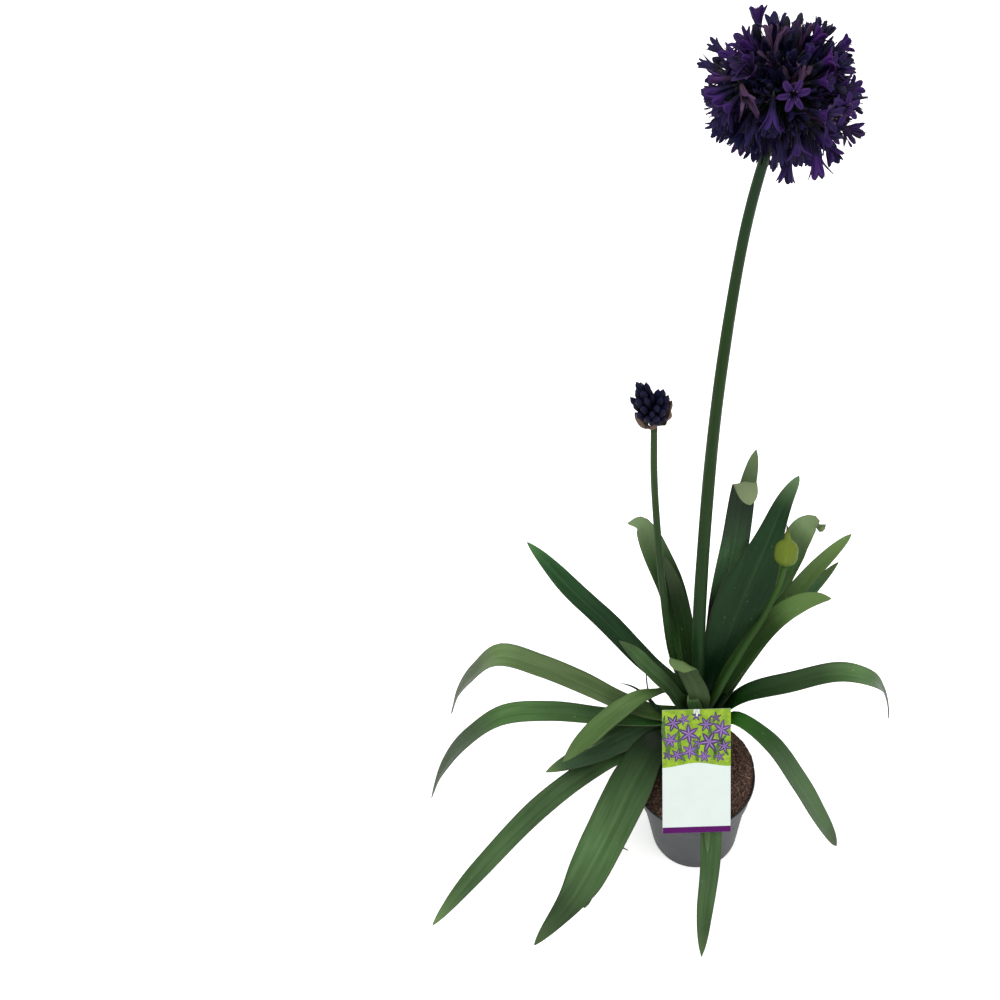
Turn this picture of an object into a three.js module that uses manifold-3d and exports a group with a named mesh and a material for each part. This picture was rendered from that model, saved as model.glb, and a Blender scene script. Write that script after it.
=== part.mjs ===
// Potted agapanthus: a nursery pot of soil, a crown of strap leaves, one flower head in bloom,
// a second head just opening, a closed bud, and a plant label on a hook.
// Millimetres, +Z up. The origin is the centre of the pot's underside.
import * as THREE from "three";
import { mergeVertices } from "three/addons/utils/BufferGeometryUtils.js";
import Module from "manifold-3d";

const wasm = await Module();
wasm.setup();

// ---- driving dimensions ----------------------------------------------------------------

const gap = 0.3; // clearance kept between pieces that touch

const pot = {
  height: 128,
  rimRadius: 65,
  collarFoot: 98, // height at which the flared collar steps in to the wall
  collarRadius: 60.5,
  wallRadius: 58,
  baseRadius: 48,
  wall: 1.4,
  floor: 2,
  lip: 1.8, // width of the rim's flat top
  drainRadius: 4.5,
  drainRing: 34,
  drainCount: 6,
};

const soil = {
  edgeRadius: 61,
  edgeHeight: 121,
  crownHeight: 124,
  tilt: 0.05, // rise towards the back, per millimetre
};

const crown = {
  x: 5,
  rootY: 32, // the root stock stands nearer the middle of the pot than the top of the crown
  topY: 44,
  leanFrom: 105, // heights between which the bundle leans back
  leanTo: 190,
  // radius and height up the bundle of leaf bases, from the root stock to the top
  outline: [[0, 84], [12, 86], [18, 94], [19, 112], [17.5, 145], [16, 180], [12, 203], [6, 213], [0, 215]],
};

const roots = {
  count: 6,
  radius: 2.2,
  tipRadius: 1.3,
  startRing: 10,
  startHeight: 98,
  bendHeight: 78,
  endRing: 34,
  endHeight: 34, // of the deepest root
  endStep: 9,
};

const umbel = {
  centre: new THREE.Vector3(69, 220, 816),
  receptacle: 5.6,
  knotDistance: 7.9,
  knotRadius: 1.9,
  pedicel: 30,
  pedicelFoot: 0.5, // radius at the knot
  pedicelTop: 1.4,
  flower: 35,
  lobes: 6,
  mouth: 10.5, // radius over the tips of the lobes
  notch: 0.45, // radius between the lobes, as a share of the mouth
  notchHeight: 0.55, // as a share of the flower's length
  throatDepth: 0.3,
  throatRadius: 1.2,
  shortening: 2.5, // step by which neighbouring florets differ in length
  groupSize: 3,
  // angle down from the top of the head, and the number of florets, for each row
  rows: [[13, 3], [37, 9], [61, 12], [85, 15], [109, 12], [133, 9]],
};

const label = {
  width: 71,
  length: 132,
  thickness: 0.8,
  lean: 42, // degrees back from upright
  swing: 10.5, // degrees about the card's own length, right side back
  foot: new THREE.Vector3(2.56, -72.6, 136.5), // middle of the lower edge
  holeRadius: 2.6,
  holeDrop: 6.5, // hole centre below the top edge
};

const hook = {
  wire: 1.2,
  footHeight: 98,
  behind: 9, // from the label's hole back to the post
  button: 3.4,
  buttonFlatness: 0.5,
};

// ---- materials -------------------------------------------------------------------------

function surface(color, roughness) {
  return new THREE.MeshStandardMaterial({ color, roughness, metalness: 0 });
}

const paint = {
  pot: () => surface(0x5a5e66, 0.55),
  soil: () => surface(0x3a2a20, 0.95),
  leafBase: () => surface(0x6d8a45, 0.6),
  leaf: () => surface(0x35552e, 0.5),
  scape: () => surface(0x3d5f33, 0.55),
  flower: () => surface(0x3d1f63, 0.6),
  darkBud: () => surface(0x1c1733, 0.5),
  paleBud: () => surface(0x8fa64b, 0.5),
  bract: () => surface(0x5e4a3c, 0.8),
  label: () => surface(0xe3efe6, 0.45),
  hook: () => surface(0xf2f2ee, 0.4),
};

// ---- solids ----------------------------------------------------------------------------

function toSolid(geometry) {
  const bare = new THREE.BufferGeometry();
  bare.setAttribute("position", geometry.getAttribute("position").clone());
  if (geometry.index) {
    bare.setIndex(geometry.index.clone());
  }
  const merged = mergeVertices(bare, 1e-4);
  return new wasm.Manifold(new wasm.Mesh({
    numProp: 3,
    vertProperties: new Float32Array(merged.getAttribute("position").array),
    triVerts: new Uint32Array(merged.index.array),
  }));
}

function toGeometry(solid) {
  const mesh = solid.getMesh();
  const geometry = new THREE.BufferGeometry();
  geometry.setAttribute("position", new THREE.Float32BufferAttribute(mesh.vertProperties, 3));
  geometry.setIndex(Array.from(mesh.triVerts));
  geometry.computeVertexNormals();
  return geometry;
}

function joined(geometries) {
  return geometries.map(toSolid).reduce((sum, solid) => sum.add(solid));
}

// Skins a row of closed rings of equal, even length. The first and last ring are closed by a
// strip across them.
function loft(rings) {
  const count = rings[0].length;
  const positions = rings.flat().flatMap((point) => point.toArray());
  const index = [];
  for (let ring = 0; ring < rings.length - 1; ring += 1) {
    for (let i = 0; i < count; i += 1) {
      const a = ring * count + i;
      const b = ring * count + ((i + 1) % count);
      index.push(a, b, b + count, a, b + count, a + count);
    }
  }
  const last = (rings.length - 1) * count;
  for (let i = 0; i < count / 2 - 1; i += 1) {
    const [a, b, c, d] = [i, i + 1, count - 2 - i, count - 1 - i];
    index.push(a, c, b, a, d, c);
    index.push(last + a, last + b, last + c, last + a, last + c, last + d);
  }
  const geometry = new THREE.BufferGeometry();
  geometry.setAttribute("position", new THREE.Float32BufferAttribute(positions, 3));
  geometry.setIndex(index);
  return geometry;
}

// A side and an up direction across the route at one point. Side starts level, square to the
// heading, and is turned about the route by the roll.
function crossing(tangent, heading, roll) {
  const side = new THREE.Vector3(-Math.sin(heading), Math.cos(heading), 0);
  side.addScaledVector(tangent, -side.dot(tangent)).normalize();
  side.applyAxisAngle(tangent, roll);
  const up = new THREE.Vector3().crossVectors(tangent, side);
  return { side, up };
}

function ringAt(centre, { side, up }, outline) {
  return outline.map(([across, rise]) => (
    centre.clone().addScaledVector(side, across).addScaledVector(up, rise)));
}

function route(points) {
  return new THREE.CatmullRomCurve3(points.map((p) => new THREE.Vector3(...p)), false, "centripetal");
}

// A round stem along a route, its radius running evenly from the foot to the top.
function stem(points, footRadius, topRadius, stations = 12, sides = 8) {
  const curve = route(points);
  const rings = [];
  for (let i = 0; i <= stations; i += 1) {
    const t = i / stations;
    const radius = THREE.MathUtils.lerp(footRadius, topRadius, t);
    const outline = circle(radius, sides);
    rings.push(ringAt(curve.getPointAt(t), crossing(curve.getTangentAt(t), Math.PI / 3, 0), outline));
  }
  return loft(rings);
}

function circle(radius, sides, flatten = 1) {
  return Array.from({ length: sides }, (_, i) => {
    const angle = (2 * Math.PI * i) / sides;
    return [radius * Math.cos(angle), radius * flatten * Math.sin(angle)];
  });
}

// ---- pot -------------------------------------------------------------------------------

function turned(outline, segments) {
  const geometry = new THREE.LatheGeometry(outline.map(([r, z]) => new THREE.Vector2(r, z)), segments);
  return geometry.rotateX(Math.PI / 2);
}

function potInside(height) {
  const rise = (height - pot.floor) / (pot.collarFoot - pot.floor);
  return THREE.MathUtils.lerp(pot.baseRadius, pot.wallRadius, rise) - pot.wall;
}

function potGeometry() {
  const { height, rimRadius, lip, collarFoot, collarRadius, wallRadius, baseRadius, wall, floor } = pot;
  const body = toSolid(turned([
    [0, 0], [baseRadius - 2, 0], [baseRadius, 2], [wallRadius, collarFoot - 1], [collarRadius, collarFoot],
    [rimRadius - 1, height - 3], [rimRadius, height - 2], [rimRadius, height],
    [rimRadius - lip, height], [collarRadius - wall, collarFoot], [potInside(collarFoot), collarFoot - 2],
    [potInside(floor), floor], [0, floor],
  ], 40));
  const drains = Array.from({ length: pot.drainCount }, (_, i) => {
    const angle = (2 * Math.PI * i) / pot.drainCount;
    const drain = new THREE.CylinderGeometry(pot.drainRadius, pot.drainRadius, 3 * floor, 12);
    drain.rotateX(Math.PI / 2);
    return drain.translate(pot.drainRing * Math.cos(angle), pot.drainRing * Math.sin(angle), floor);
  });
  return toGeometry(body.subtract(joined(drains)));
}

// ---- crown and soil --------------------------------------------------------------------

// Moves an upright outline outwards by the clearance, its low end down and its high end up.
function grown(outline, clearance) {
  const middle = outline[Math.floor(outline.length / 2)][1];
  return outline.map(([r, z]) => [r && r + clearance, z + Math.sign(z - middle) * clearance]);
}

function rootRoute(number) {
  const angle = (2 * Math.PI * (number + 0.3)) / roots.count;
  const [along, across] = [Math.cos(angle), Math.sin(angle)];
  const start = [crown.x + roots.startRing * along, crown.rootY + roots.startRing * across];
  const end = [roots.endRing * along, roots.endRing * across];
  return [
    [...start, roots.startHeight],
    [(start[0] + end[0]) / 2, (start[1] + end[1]) / 2, roots.bendHeight],
    [...end, roots.endHeight + roots.endStep * (number % 3)],
  ];
}

// The bundle of leaf bases with its root stock and thick roots, grown by the clearance given.
function crownSolid(clearance) {
  const bundle = turned(grown(crown.outline, clearance), 20);
  const position = bundle.getAttribute("position");
  for (let i = 0; i < position.count; i += 1) {
    const rise = THREE.MathUtils.smoothstep(position.getZ(i), crown.leanFrom, crown.leanTo);
    position.setX(i, position.getX(i) + crown.x);
    position.setY(i, position.getY(i) + THREE.MathUtils.lerp(crown.rootY, crown.topY, rise));
  }
  const rootPieces = Array.from({ length: roots.count }, (_, i) => (
    stem(rootRoute(i), roots.radius + clearance, roots.tipRadius + clearance, 4, 6)));
  return joined([bundle, ...rootPieces]);
}

const crownClearance = crownSolid(gap);

function soilGeometry() {
  const foot = pot.floor + gap;
  const shoulder = pot.collarFoot - 2;
  const mound = turned([
    [0, foot], [potInside(foot) - gap, foot], [potInside(shoulder) - gap, shoulder],
    [pot.collarRadius - pot.wall - 1.5 * gap, pot.collarFoot + 2 * gap],
    [soil.edgeRadius, soil.edgeHeight], [soil.edgeRadius * 0.6, (soil.edgeHeight + soil.crownHeight) / 2],
    [soil.edgeRadius * 0.4, soil.crownHeight], [0, soil.crownHeight],
  ], 32);
  const position = mound.getAttribute("position");
  for (let i = 0; i < position.count; i += 1) {
    if (position.getZ(i) >= soil.edgeHeight) {
      position.setZ(i, position.getZ(i) + soil.tilt * position.getY(i));
    }
  }
  return toGeometry(toSolid(mound).subtract(crownClearance).subtract(hookSolid(gap)));
}

// ---- leaves ----------------------------------------------------------------------------

// Share of the greatest width along a leaf, as pairs of place along the leaf and share.
const outlines = {
  strap: [[0, 0.5], [0.15, 0.66], [0.35, 0.96], [0.5, 1], [0.7, 0.98], [0.8, 0.9], [0.88, 0.74],
    [0.94, 0.52], [0.98, 0.26], [1, 0.05]],
  blunt: [[0, 0.5], [0.15, 0.66], [0.35, 0.96], [0.5, 1], [0.75, 0.98], [0.86, 0.88], [0.93, 0.7],
    [0.975, 0.42], [1, 0.06]],
  pointed: [[0, 0.32], [0.12, 0.44], [0.24, 0.84], [0.34, 1.04], [0.48, 1.04], [0.62, 1], [0.72, 0.92],
    [0.8, 0.66], [0.88, 0.45], [0.94, 0.3], [0.98, 0.15], [1, 0.03]],
  easing: [[0, 0.5], [0.15, 0.66], [0.35, 0.96], [0.5, 1], [0.65, 0.9], [0.78, 0.82], [0.88, 0.64],
    [0.95, 0.4], [1, 0.04]],
  belly: [[0, 0.36], [0.15, 0.5], [0.3, 0.7], [0.4, 0.86], [0.55, 1], [0.75, 1], [0.86, 0.9], [0.93, 0.7],
    [0.975, 0.42], [1, 0.06]],
  lance: [[0, 0.42], [0.15, 0.62], [0.35, 0.9], [0.5, 1], [0.58, 0.97], [0.67, 0.78], [0.74, 0.58],
    [0.82, 0.43], [0.89, 0.34], [0.95, 0.24], [0.985, 0.13], [1, 0.02]],
  folded: [[0, 0.5], [0.2, 0.74], [0.4, 0.96], [0.6, 1], [0.8, 0.9], [0.9, 0.82], [0.945, 0.78],
    [0.965, 0.7], [0.985, 0.48], [0.995, 0.25], [1, 0.05]],
  taper: [[0, 0.5], [0.15, 0.7], [0.35, 0.97], [0.45, 1], [0.6, 0.93], [0.75, 0.74], [0.87, 0.5],
    [0.95, 0.27], [1, 0.03]],
  stalked: [[0, 0.3], [0.25, 0.2], [0.33, 0.32], [0.45, 0.72], [0.58, 1], [0.75, 1], [0.87, 0.76],
    [0.95, 0.42], [1, 0.04]],
  curled: [[0, 0.5], [0.2, 0.75], [0.45, 0.92], [0.6, 0.9], [0.72, 0.9], [0.8, 1], [0.88, 1.06],
    [0.93, 0.95], [0.96, 0.68], [0.985, 0.36], [1, 0.14]],
  hooked: [[0, 0.5], [0.2, 0.75], [0.45, 1], [0.75, 1.02], [0.84, 1.05], [0.9, 0.98], [0.94, 0.74],
    [0.97, 0.4], [1, 0.05]],
  tapering: [[0, 0.5], [0.15, 0.66], [0.35, 0.96], [0.5, 1], [0.7, 0.98], [0.8, 0.88], [0.88, 0.68],
    [0.94, 0.46], [0.98, 0.22], [1, 0.05]],
  trailing: [[0, 0.5], [0.15, 0.66], [0.35, 0.96], [0.5, 1], [0.66, 0.98], [0.76, 0.82], [0.83, 0.6],
    [0.88, 0.36], [0.92, 0.19], [0.96, 0.12], [1, 0.06]],
  sheathed: [[0, 0.85], [0.3, 1], [0.6, 1], [0.75, 0.92], [0.86, 0.72], [0.94, 0.42], [1, 0.04]],
  young: [[0, 0.6], [0.3, 0.8], [0.55, 0.9], [0.75, 0.98], [0.86, 1.12], [0.93, 1.12], [0.97, 0.86],
    [1, 0.4]],
};

// Each leaf: the points that its midrib runs through, from inside the crown to the tip; its
// greatest width; how deep its channel is as a share of the width; and, where it is not the way
// that the midrib runs, the heading of the blade, as pairs of place along the leaf and degrees.
const leaves = {
  back_folded: {
    points: [[5.2, 57.4, 186.6], [13.1, 67.4, 205.5], [20, 89.7, 234], [28.7, 108.9, 292.2],
      [38.7, 123.5, 360.8], [44.6, 132.5, 413.9], [47.1, 136.4, 440.7], [48.3, 136.3, 450.8],
      [50.3, 127.4, 449.4], [53.2, 114.8, 442.1]],
    width: 28.5, cup: 0.1, outline: "folded", stations: 34,
    facing: [[0, 85], [1, 92]],
  },
  back_pointed: {
    points: [[12.2, 59.8, 189.6], [19.8, 80.3, 208], [26.7, 103.3, 233.6], [35.1, 130.3, 337.4],
      [49.5, 148.1, 410.7], [59.3, 163.3, 467.1]],
    width: 19, cup: 0.12, outline: "blunt",
  },
  back_broad: {
    points: [[13, 50, 170], [19.7, 63.3, 210.7], [33.5, 76.5, 272.4], [48, 92.8, 318.1],
      [61.9, 108.5, 354.2], [74.5, 125.2, 384.3], [87.9, 145.1, 412.8], [101.8, 163.4, 429.1]],
    width: 54, cup: 0.09, outline: "lance", stations: 16,
    facing: [[0, 99], [1, 85]],
  },
  back_curled: {
    points: [[13, 52, 162], [32, 75.8, 197.8], [61.2, 110.2, 239], [84.8, 131.4, 290.9],
      [99.8, 150, 321.4], [105.3, 158.8, 338.5], [112.5, 165.7, 349.6], [121.7, 169.2, 351],
      [127.3, 161.8, 349.6]],
    width: 27, cup: 0.1, outline: "curled", stations: 22,
    facing: [[0, 75], [0.8, 70], [0.92, 52], [1, 42]],
  },
  right_high: {
    points: [[14, 43, 168], [33.3, 43.4, 216.1], [78.1, 77, 297.9], [117.8, 125.1, 319.9],
      [159, 161.3, 341.9]],
    width: 18.5, cup: 0.14, outline: "blunt",
  },
  right_mid: {
    points: [[14.9, 40.4, 147.5], [38, 50.2, 203.4], [78.7, 94.1, 268.9], [119, 126, 290],
      [148, 150, 310]],
    width: 17, cup: 0.12,
  },
  right_low: {
    points: [[14, 40, 175], [27, 42.6, 220.3], [47.8, 56.4, 263.9], [68.3, 70.2, 294.6],
      [89.3, 79.2, 317], [107.5, 84.2, 328.3], [123.3, 88.3, 329.8], [135.4, 91, 326.4]],
    width: 23, cup: 0.1, outline: "blunt", stations: 18,
    facing: [[0, 66], [0.6, 55], [1, 35]],
  },
  right_arch: {
    points: [[14, 37.8, 153.8], [33, 32.2, 192.3], [54, 34.3, 227.5], [97, 38.4, 250.8], [145, 41, 267.3],
      [178, 44, 252], [193.8, 51.3, 219.9], [199.6, 48.1, 201.1], [202.4, 43.3, 181.5]],
    width: 24.5, cup: 0.14, outline: "trailing", stations: 18,
  },
  right_hanging: {
    points: [[10.9, 34.2, 136.7], [27, 32.5, 169.5], [43, 26.3, 200], [78, 12.3, 177.8],
      [108.2, -2.4, 125.4], [133.7, -15.4, 73.5], [156.6, -27.1, 26.5]],
    width: 27, cup: 0.12, outline: "belly",
  },
  front_hanging: {
    points: [[8, 36, 140], [12, 14, 152], [16, -30, 156], [18, -56, 143], [18, -68, 131.5],
      [17, -90, 109], [11.5, -123, 62], [7.8, -160, 25]],
    width: 22, cup: 0.06, outline: "easing",
  },
  front_short: {
    points: [[6, 36, 160], [8, 14, 168], [12, -28, 162.5], [14, -56, 147.8], [14, -68, 135.8],
      [14, -80, 124], [14, -86, 117.3]],
    width: 9, cup: 0.12,
  },
  front_left_broad: {
    points: [[3, 34, 166], [-16, 17.4, 181.9], [-37.8, 2.9, 186.2], [-63.7, -26.3, 154.3],
      [-95.6, -72.2, 104], [-130, -119.4, 62.8], [-169.5, -161.9, 38.7]],
    width: 48, cup: 0.08, outline: "pointed",
  },
  front_left_under: {
    points: [[0, 36, 130], [-24.4, 12.3, 141.5], [-63.2, -22.9, 130.7], [-102, -72.7, 79.3],
      [-118.1, -118.7, 40.8]],
    width: 24, cup: 0.1, outline: "blunt",
  },
  left_low: {
    points: [[-2, 40, 138], [-20, 28.2, 162.8], [-41, 16.4, 168.6], [-101, -2.9, 147.6],
      [-166, -39.9, 112.6], [-234, -90.1, 59.8], [-287.2, -136.8, 17.9]],
    width: 27, cup: 0.12,
  },
  left_short: {
    points: [[-2, 42, 148], [-18.1, 36.4, 174.2], [-39.2, 29.5, 182.2], [-68, 20.2, 173.8],
      [-100.5, 9, 159.3], [-131, -0.7, 149.4], [-159.4, -10.5, 141.3]],
    width: 37, cup: 0.08, outline: "taper",
  },
  left_twisted: {
    points: [[-2, 45, 174], [-10, 45, 198.8], [-27.2, 47.2, 219.6], [-40.7, 41.5, 224.1],
      [-56, 32.5, 229], [-74.4, 18.3, 227.4], [-93.2, 7.6, 216.4], [-115.9, -5.2, 198.1],
      [-137.6, -18.3, 178.1]],
    width: 24, cup: 0.08, outline: "stalked", stations: 18,
    facing: [[0, 170], [0.3, 175], [0.6, 205], [1, 222]],
  },
  left_arch_low: {
    points: [[-2, 44, 160], [-18, 36, 184], [-41, 25.5, 193.2], [-99, 22.1, 203.9], [-152, 24.5, 206.7],
      [-201, 23.4, 199.5], [-245, 19.3, 156.7], [-282, 19.2, 91.5], [-308.2, 15.9, 22.5]],
    width: 26, cup: 0.14, stations: 18,
  },
  left_arch_high: {
    points: [[-2, 46, 168], [-20, 34.6, 190.5], [-41, 29.6, 200], [-78, 36, 212.1], [-119, 45.2, 232],
      [-162, 56, 246.2], [-204, 63.4, 253.7], [-236, 63.4, 218.3], [-263, 70.5, 163.1],
      [-276, 69.7, 125.4]],
    width: 29, cup: 0.14, stations: 18,
  },
  left_raised: {
    points: [[-2, 46, 190], [-12, 45.2, 214.1], [-23.9, 49.2, 231], [-46.4, 61.1, 244.6],
      [-88, 90, 274.7], [-130.8, 120.2, 301.1], [-174.2, 150.3, 339.8]],
    width: 26, cup: 0.12, outline: "tapering",
  },
  left_raised_short: {
    points: [[-5.2, 42.3, 199], [-14.6, 30.2, 221], [-26.8, 38.1, 238.5], [-44.5, 44.5, 259.2],
      [-59.2, 52.4, 275.5], [-76.4, 61.2, 289.4]],
    width: 22, cup: 0.14, outline: "sheathed",
  },
  back_left_curled: {
    points: [[1.5, 57.5, 182], [-8.3, 74.6, 227.4], [-14.9, 89.8, 284.1], [-25.9, 107.3, 329.6],
      [-40, 121.6, 362.4], [-49, 133, 378], [-54, 138.3, 384.5], [-66.5, 138, 386.2]],
    width: 28, cup: 0.1, outline: "hooked", stations: 22,
    facing: [[0, 105], [0.7, 112], [0.9, 145], [1, 165]],
  },
  young_curled: {
    points: [[3, 35.5, 195], [5, 30.5, 218], [5.1, 28.7, 243], [0.5, 32.1, 260.2], [-5.5, 35.2, 274.7],
      [-8.7, 37.6, 285.4], [-11.4, 33.9, 290.1], [-14.1, 28, 288.9]],
    width: 21.5, cup: 0.1, outline: "young", stations: 24,
    facing: [[0, 90], [0.5, 78], [0.8, 57], [1, 55]],
  },
};

const blade = {
  midrib: 0.9, // thickness above the midrib line; half as much lies below it
  margin: 0.45,
  stations: 14,
};

// Value at t on a line through the given pairs of place and value.
function alongPairs(pairs, t) {
  const after = pairs.findIndex(([place]) => place >= t);
  if (after <= 0) {
    return pairs[Math.max(after, 0)][1];
  }
  const [from, to] = [pairs[after - 1], pairs[after]];
  return THREE.MathUtils.lerp(from[1], to[1], (t - from[0]) / (to[0] - from[0]));
}

function leafOutline(width, cup) {
  const rise = width * cup;
  return [
    [width / 2, rise], [0, blade.midrib], [-width / 2, rise],
    [-width / 2, rise - blade.margin], [0, -blade.midrib / 2], [width / 2, rise - blade.margin],
  ];
}

function leafGeometry({ points, width, cup, facing, outline = "strap", stations = blade.stations }) {
  const curve = route(points);
  const out = curve.getPointAt(0.75).sub(curve.getPointAt(0));
  const outward = THREE.MathUtils.radToDeg(Math.atan2(out.y, out.x));
  const rings = [];
  for (let i = 0; i <= stations; i += 1) {
    const t = i / stations;
    const heading = THREE.MathUtils.degToRad(facing ? alongPairs(facing, t) : outward);
    const across = crossing(curve.getTangentAt(t), heading, 0);
    const share = alongPairs(outlines[outline], t);
    rings.push(ringAt(curve.getPointAt(t), across, leafOutline(width * share, cup)));
  }
  return toGeometry(toSolid(loft(rings)).subtract(crownClearance));
}

// ---- scapes ----------------------------------------------------------------------------

const scapes = {
  main: {
    points: [[5, 44, 180], [4, 48, 205], [4.5, 62, 292.1], [6.4, 76.9, 357.1], [15.4, 119.9, 503.1],
      [25.2, 149.9, 598.1], [39.2, 184.9, 690.1], [47.9, 198, 733], [56.9, 206, 770], [69, 220, 816]],
    foot: 7.3, top: 3.3,
  },
  left: {
    points: [[-4, 47.8, 180], [-10.4, 57, 208], [-23, 66, 264], [-30.5, 74, 360.1], [-34.8, 83.9, 455.1],
      [-36.1, 92, 511], [-35, 100, 567]],
    foot: 4.1, top: 3.1,
  },
  closed: {
    points: [[9, 40, 195], [17.6, 35.1, 216], [33.6, 44.4, 255.5], [52.2, 59.9, 289.5],
      [65.6, 70.3, 311.7], [75.7, 78.2, 335], [83.3, 86.4, 354.4], [87.8, 93.9, 375.6]],
    foot: 4.4, top: 2.7,
  },
};

function scapeGeometry({ points, foot, top }, receptacle = null) {
  let solid = toSolid(stem(points, foot, top, 16, 10));
  if (receptacle) {
    solid = solid.add(toSolid(receptacle));
  }
  return toGeometry(solid.subtract(crownClearance));
}

function receptacleGeometry() {
  const ball = new THREE.SphereGeometry(umbel.receptacle, 12, 8);
  return ball.translate(...umbel.centre.toArray());
}

// ---- flower head -----------------------------------------------------------------------

const headUp = new THREE.Vector3(13, 15, 48).normalize();

// A frame that carries +Z to the direction given.
function aim(direction) {
  return new THREE.Quaternion().setFromUnitVectors(new THREE.Vector3(0, 0, 1), direction);
}

// One floret out along +Z: a stalk from the knot, then a six-lobed trumpet.
function floret(stalk) {
  const { pedicelFoot, pedicelTop, flower, lobes, mouth } = umbel;
  const star = (tip, tipHeight, dip, dipHeight) => (
    Array.from({ length: 2 * lobes }, (_, i) => {
      const angle = (Math.PI * i) / lobes;
      const [radius, height] = i % 2 ? [dip, dipHeight] : [tip, tipHeight];
      return new THREE.Vector3(radius * Math.cos(angle), radius * Math.sin(angle), height);
    }));
  const ring = (radius, height) => star(radius, height, radius, height);
  return loft([
    ring(pedicelFoot, 0),
    ring(pedicelTop, stalk),
    star(mouth, stalk + flower, mouth * umbel.notch, stalk + flower * umbel.notchHeight),
    ring(umbel.throatRadius, stalk + flower * umbel.throatDepth),
  ]);
}

// Directions out of the head for one row, a group of neighbouring florets at a time.
function groupsOfRow([down, count], row) {
  const groups = [];
  for (let first = 0; first < count; first += umbel.groupSize) {
    const group = [];
    for (let i = first; i < first + umbel.groupSize; i += 1) {
      const angle = (2 * Math.PI * (i + 0.5 * (row % 2))) / count;
      const tilt = THREE.MathUtils.degToRad(down);
      group.push(new THREE.Vector3(
        Math.sin(tilt) * Math.cos(angle), Math.sin(tilt) * Math.sin(angle), Math.cos(tilt)));
    }
    groups.push(group);
  }
  return groups;
}

// Florets of one group share a knot at the foot of their stalks, just clear of the receptacle.
function floretGroupGeometry(directions, groupNumber) {
  const middle = directions.reduce((sum, d) => sum.add(d), new THREE.Vector3()).normalize();
  const knot = middle.clone().multiplyScalar(umbel.knotDistance);
  const pieces = [new THREE.SphereGeometry(umbel.knotRadius, 5, 4).translate(...knot.toArray())];
  directions.forEach((direction, i) => {
    const shorter = umbel.shortening * ((groupNumber + 2 * i) % 3);
    const along = direction.clone().multiplyScalar(umbel.pedicel + umbel.flower - shorter).sub(knot);
    const stalk = along.length() - umbel.flower;
    const flower = floret(stalk).applyQuaternion(aim(along.normalize()));
    pieces.push(flower.translate(...knot.toArray()));
  });
  const head = toGeometry(joined(pieces));
  head.applyQuaternion(aim(headUp));
  return head.translate(...umbel.centre.toArray());
}

// ---- opening head and closed bud -------------------------------------------------------

// A bud: a spindle from the origin towards +Z, thickest above its middle.
function spindle(length, radius) {
  const profile = [[0, 0.35], [0.55, 1], [0.85, 0.65], [1, 0.12]];
  return loft(profile.map(([t, share]) => (
    circle(radius * share, 6).map(([x, y]) => new THREE.Vector3(x, y, t * length)))));
}

const opening = {
  foot: new THREE.Vector3(-35, 100, 567),
  collar: 5,
  budLength: 38,
  budRadius: 3.1,
  shorter: 0.93, // each ring's buds, as a share of the ring inside it
  rings: [[0, 1], [16, 5], [30, 9]], // degrees out from upright, and the number of buds
  bractWidth: 15,
};

function budClusterGeometry() {
  const collar = new THREE.SphereGeometry(opening.collar, 10, 6).translate(0, 0, opening.collar + gap);
  const buds = opening.rings.flatMap(([spread, count], ring) => (
    Array.from({ length: count }, (_, i) => {
      const angle = (2 * Math.PI * (i + 0.5 * ring)) / count;
      const tilt = THREE.MathUtils.degToRad(spread);
      const out = new THREE.Vector3(0, 0, 1).applyAxisAngle(new THREE.Vector3(0, 1, 0), tilt);
      const bud = spindle(opening.budLength * opening.shorter ** ring, opening.budRadius);
      bud.applyQuaternion(aim(out.applyAxisAngle(new THREE.Vector3(0, 0, 1), angle)));
      return bud.translate(0, 0, opening.collar);
    })));
  return toGeometry(joined([collar, ...buds])).translate(...opening.foot.toArray());
}

// A papery bract: a pointed blade that stands close beside the cluster.
function bractGeometry(headingDegrees, height) {
  const heading = THREE.MathUtils.degToRad(headingDegrees);
  const outward = new THREE.Vector3(Math.cos(heading), Math.sin(heading), 0);
  const place = (r, z) => (
    opening.foot.clone().addScaledVector(outward, r).add(new THREE.Vector3(0, 0, z)).toArray());
  const curve = route([place(6.2, 3.5), place(9.5, 8), place(13.5, 16), place(17.5, height)]);
  const shares = [0.45, 0.85, 1, 0.8, 0.4, 0.1];
  return loft(shares.map((share, i) => {
    const t = i / (shares.length - 1);
    const across = crossing(curve.getTangentAt(t), heading, 0);
    return ringAt(curve.getPointAt(t), across, leafOutline(opening.bractWidth * share, 0.12));
  }));
}

const closedBud = {
  foot: new THREE.Vector3(87.8, 94, 376),
  direction: new THREE.Vector3(3, 14, 40),
  radius: 11.5,
  flatness: 0.85,
  // height and share of the radius, from the stem to the end of the beak
  sections: [[0, 0.27], [3, 0.7], [9, 1], [18, 0.97], [24, 0.72], [28, 0.34], [35, 0.18], [41, 0.05]],
};

function closedBudGeometry() {
  const bud = loft(closedBud.sections.map(([z, share]) => (
    circle(closedBud.radius * share, 12, closedBud.flatness).map(([x, y]) => new THREE.Vector3(x, y, z)))));
  bud.applyQuaternion(aim(closedBud.direction.clone().normalize()));
  return bud.translate(...closedBud.foot.toArray());
}

// ---- label and hook --------------------------------------------------------------------

// Carries the flat card, drawn in X and Y with its lower edge on the X axis, to where it leans.
function labelPlacement() {
  const swing = new THREE.Matrix4().makeRotationY(THREE.MathUtils.degToRad(label.swing));
  const lean = new THREE.Matrix4().makeRotationX(THREE.MathUtils.degToRad(90 - label.lean));
  const move = new THREE.Matrix4().makeTranslation(...label.foot.toArray());
  return move.multiply(lean).multiply(swing);
}

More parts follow.
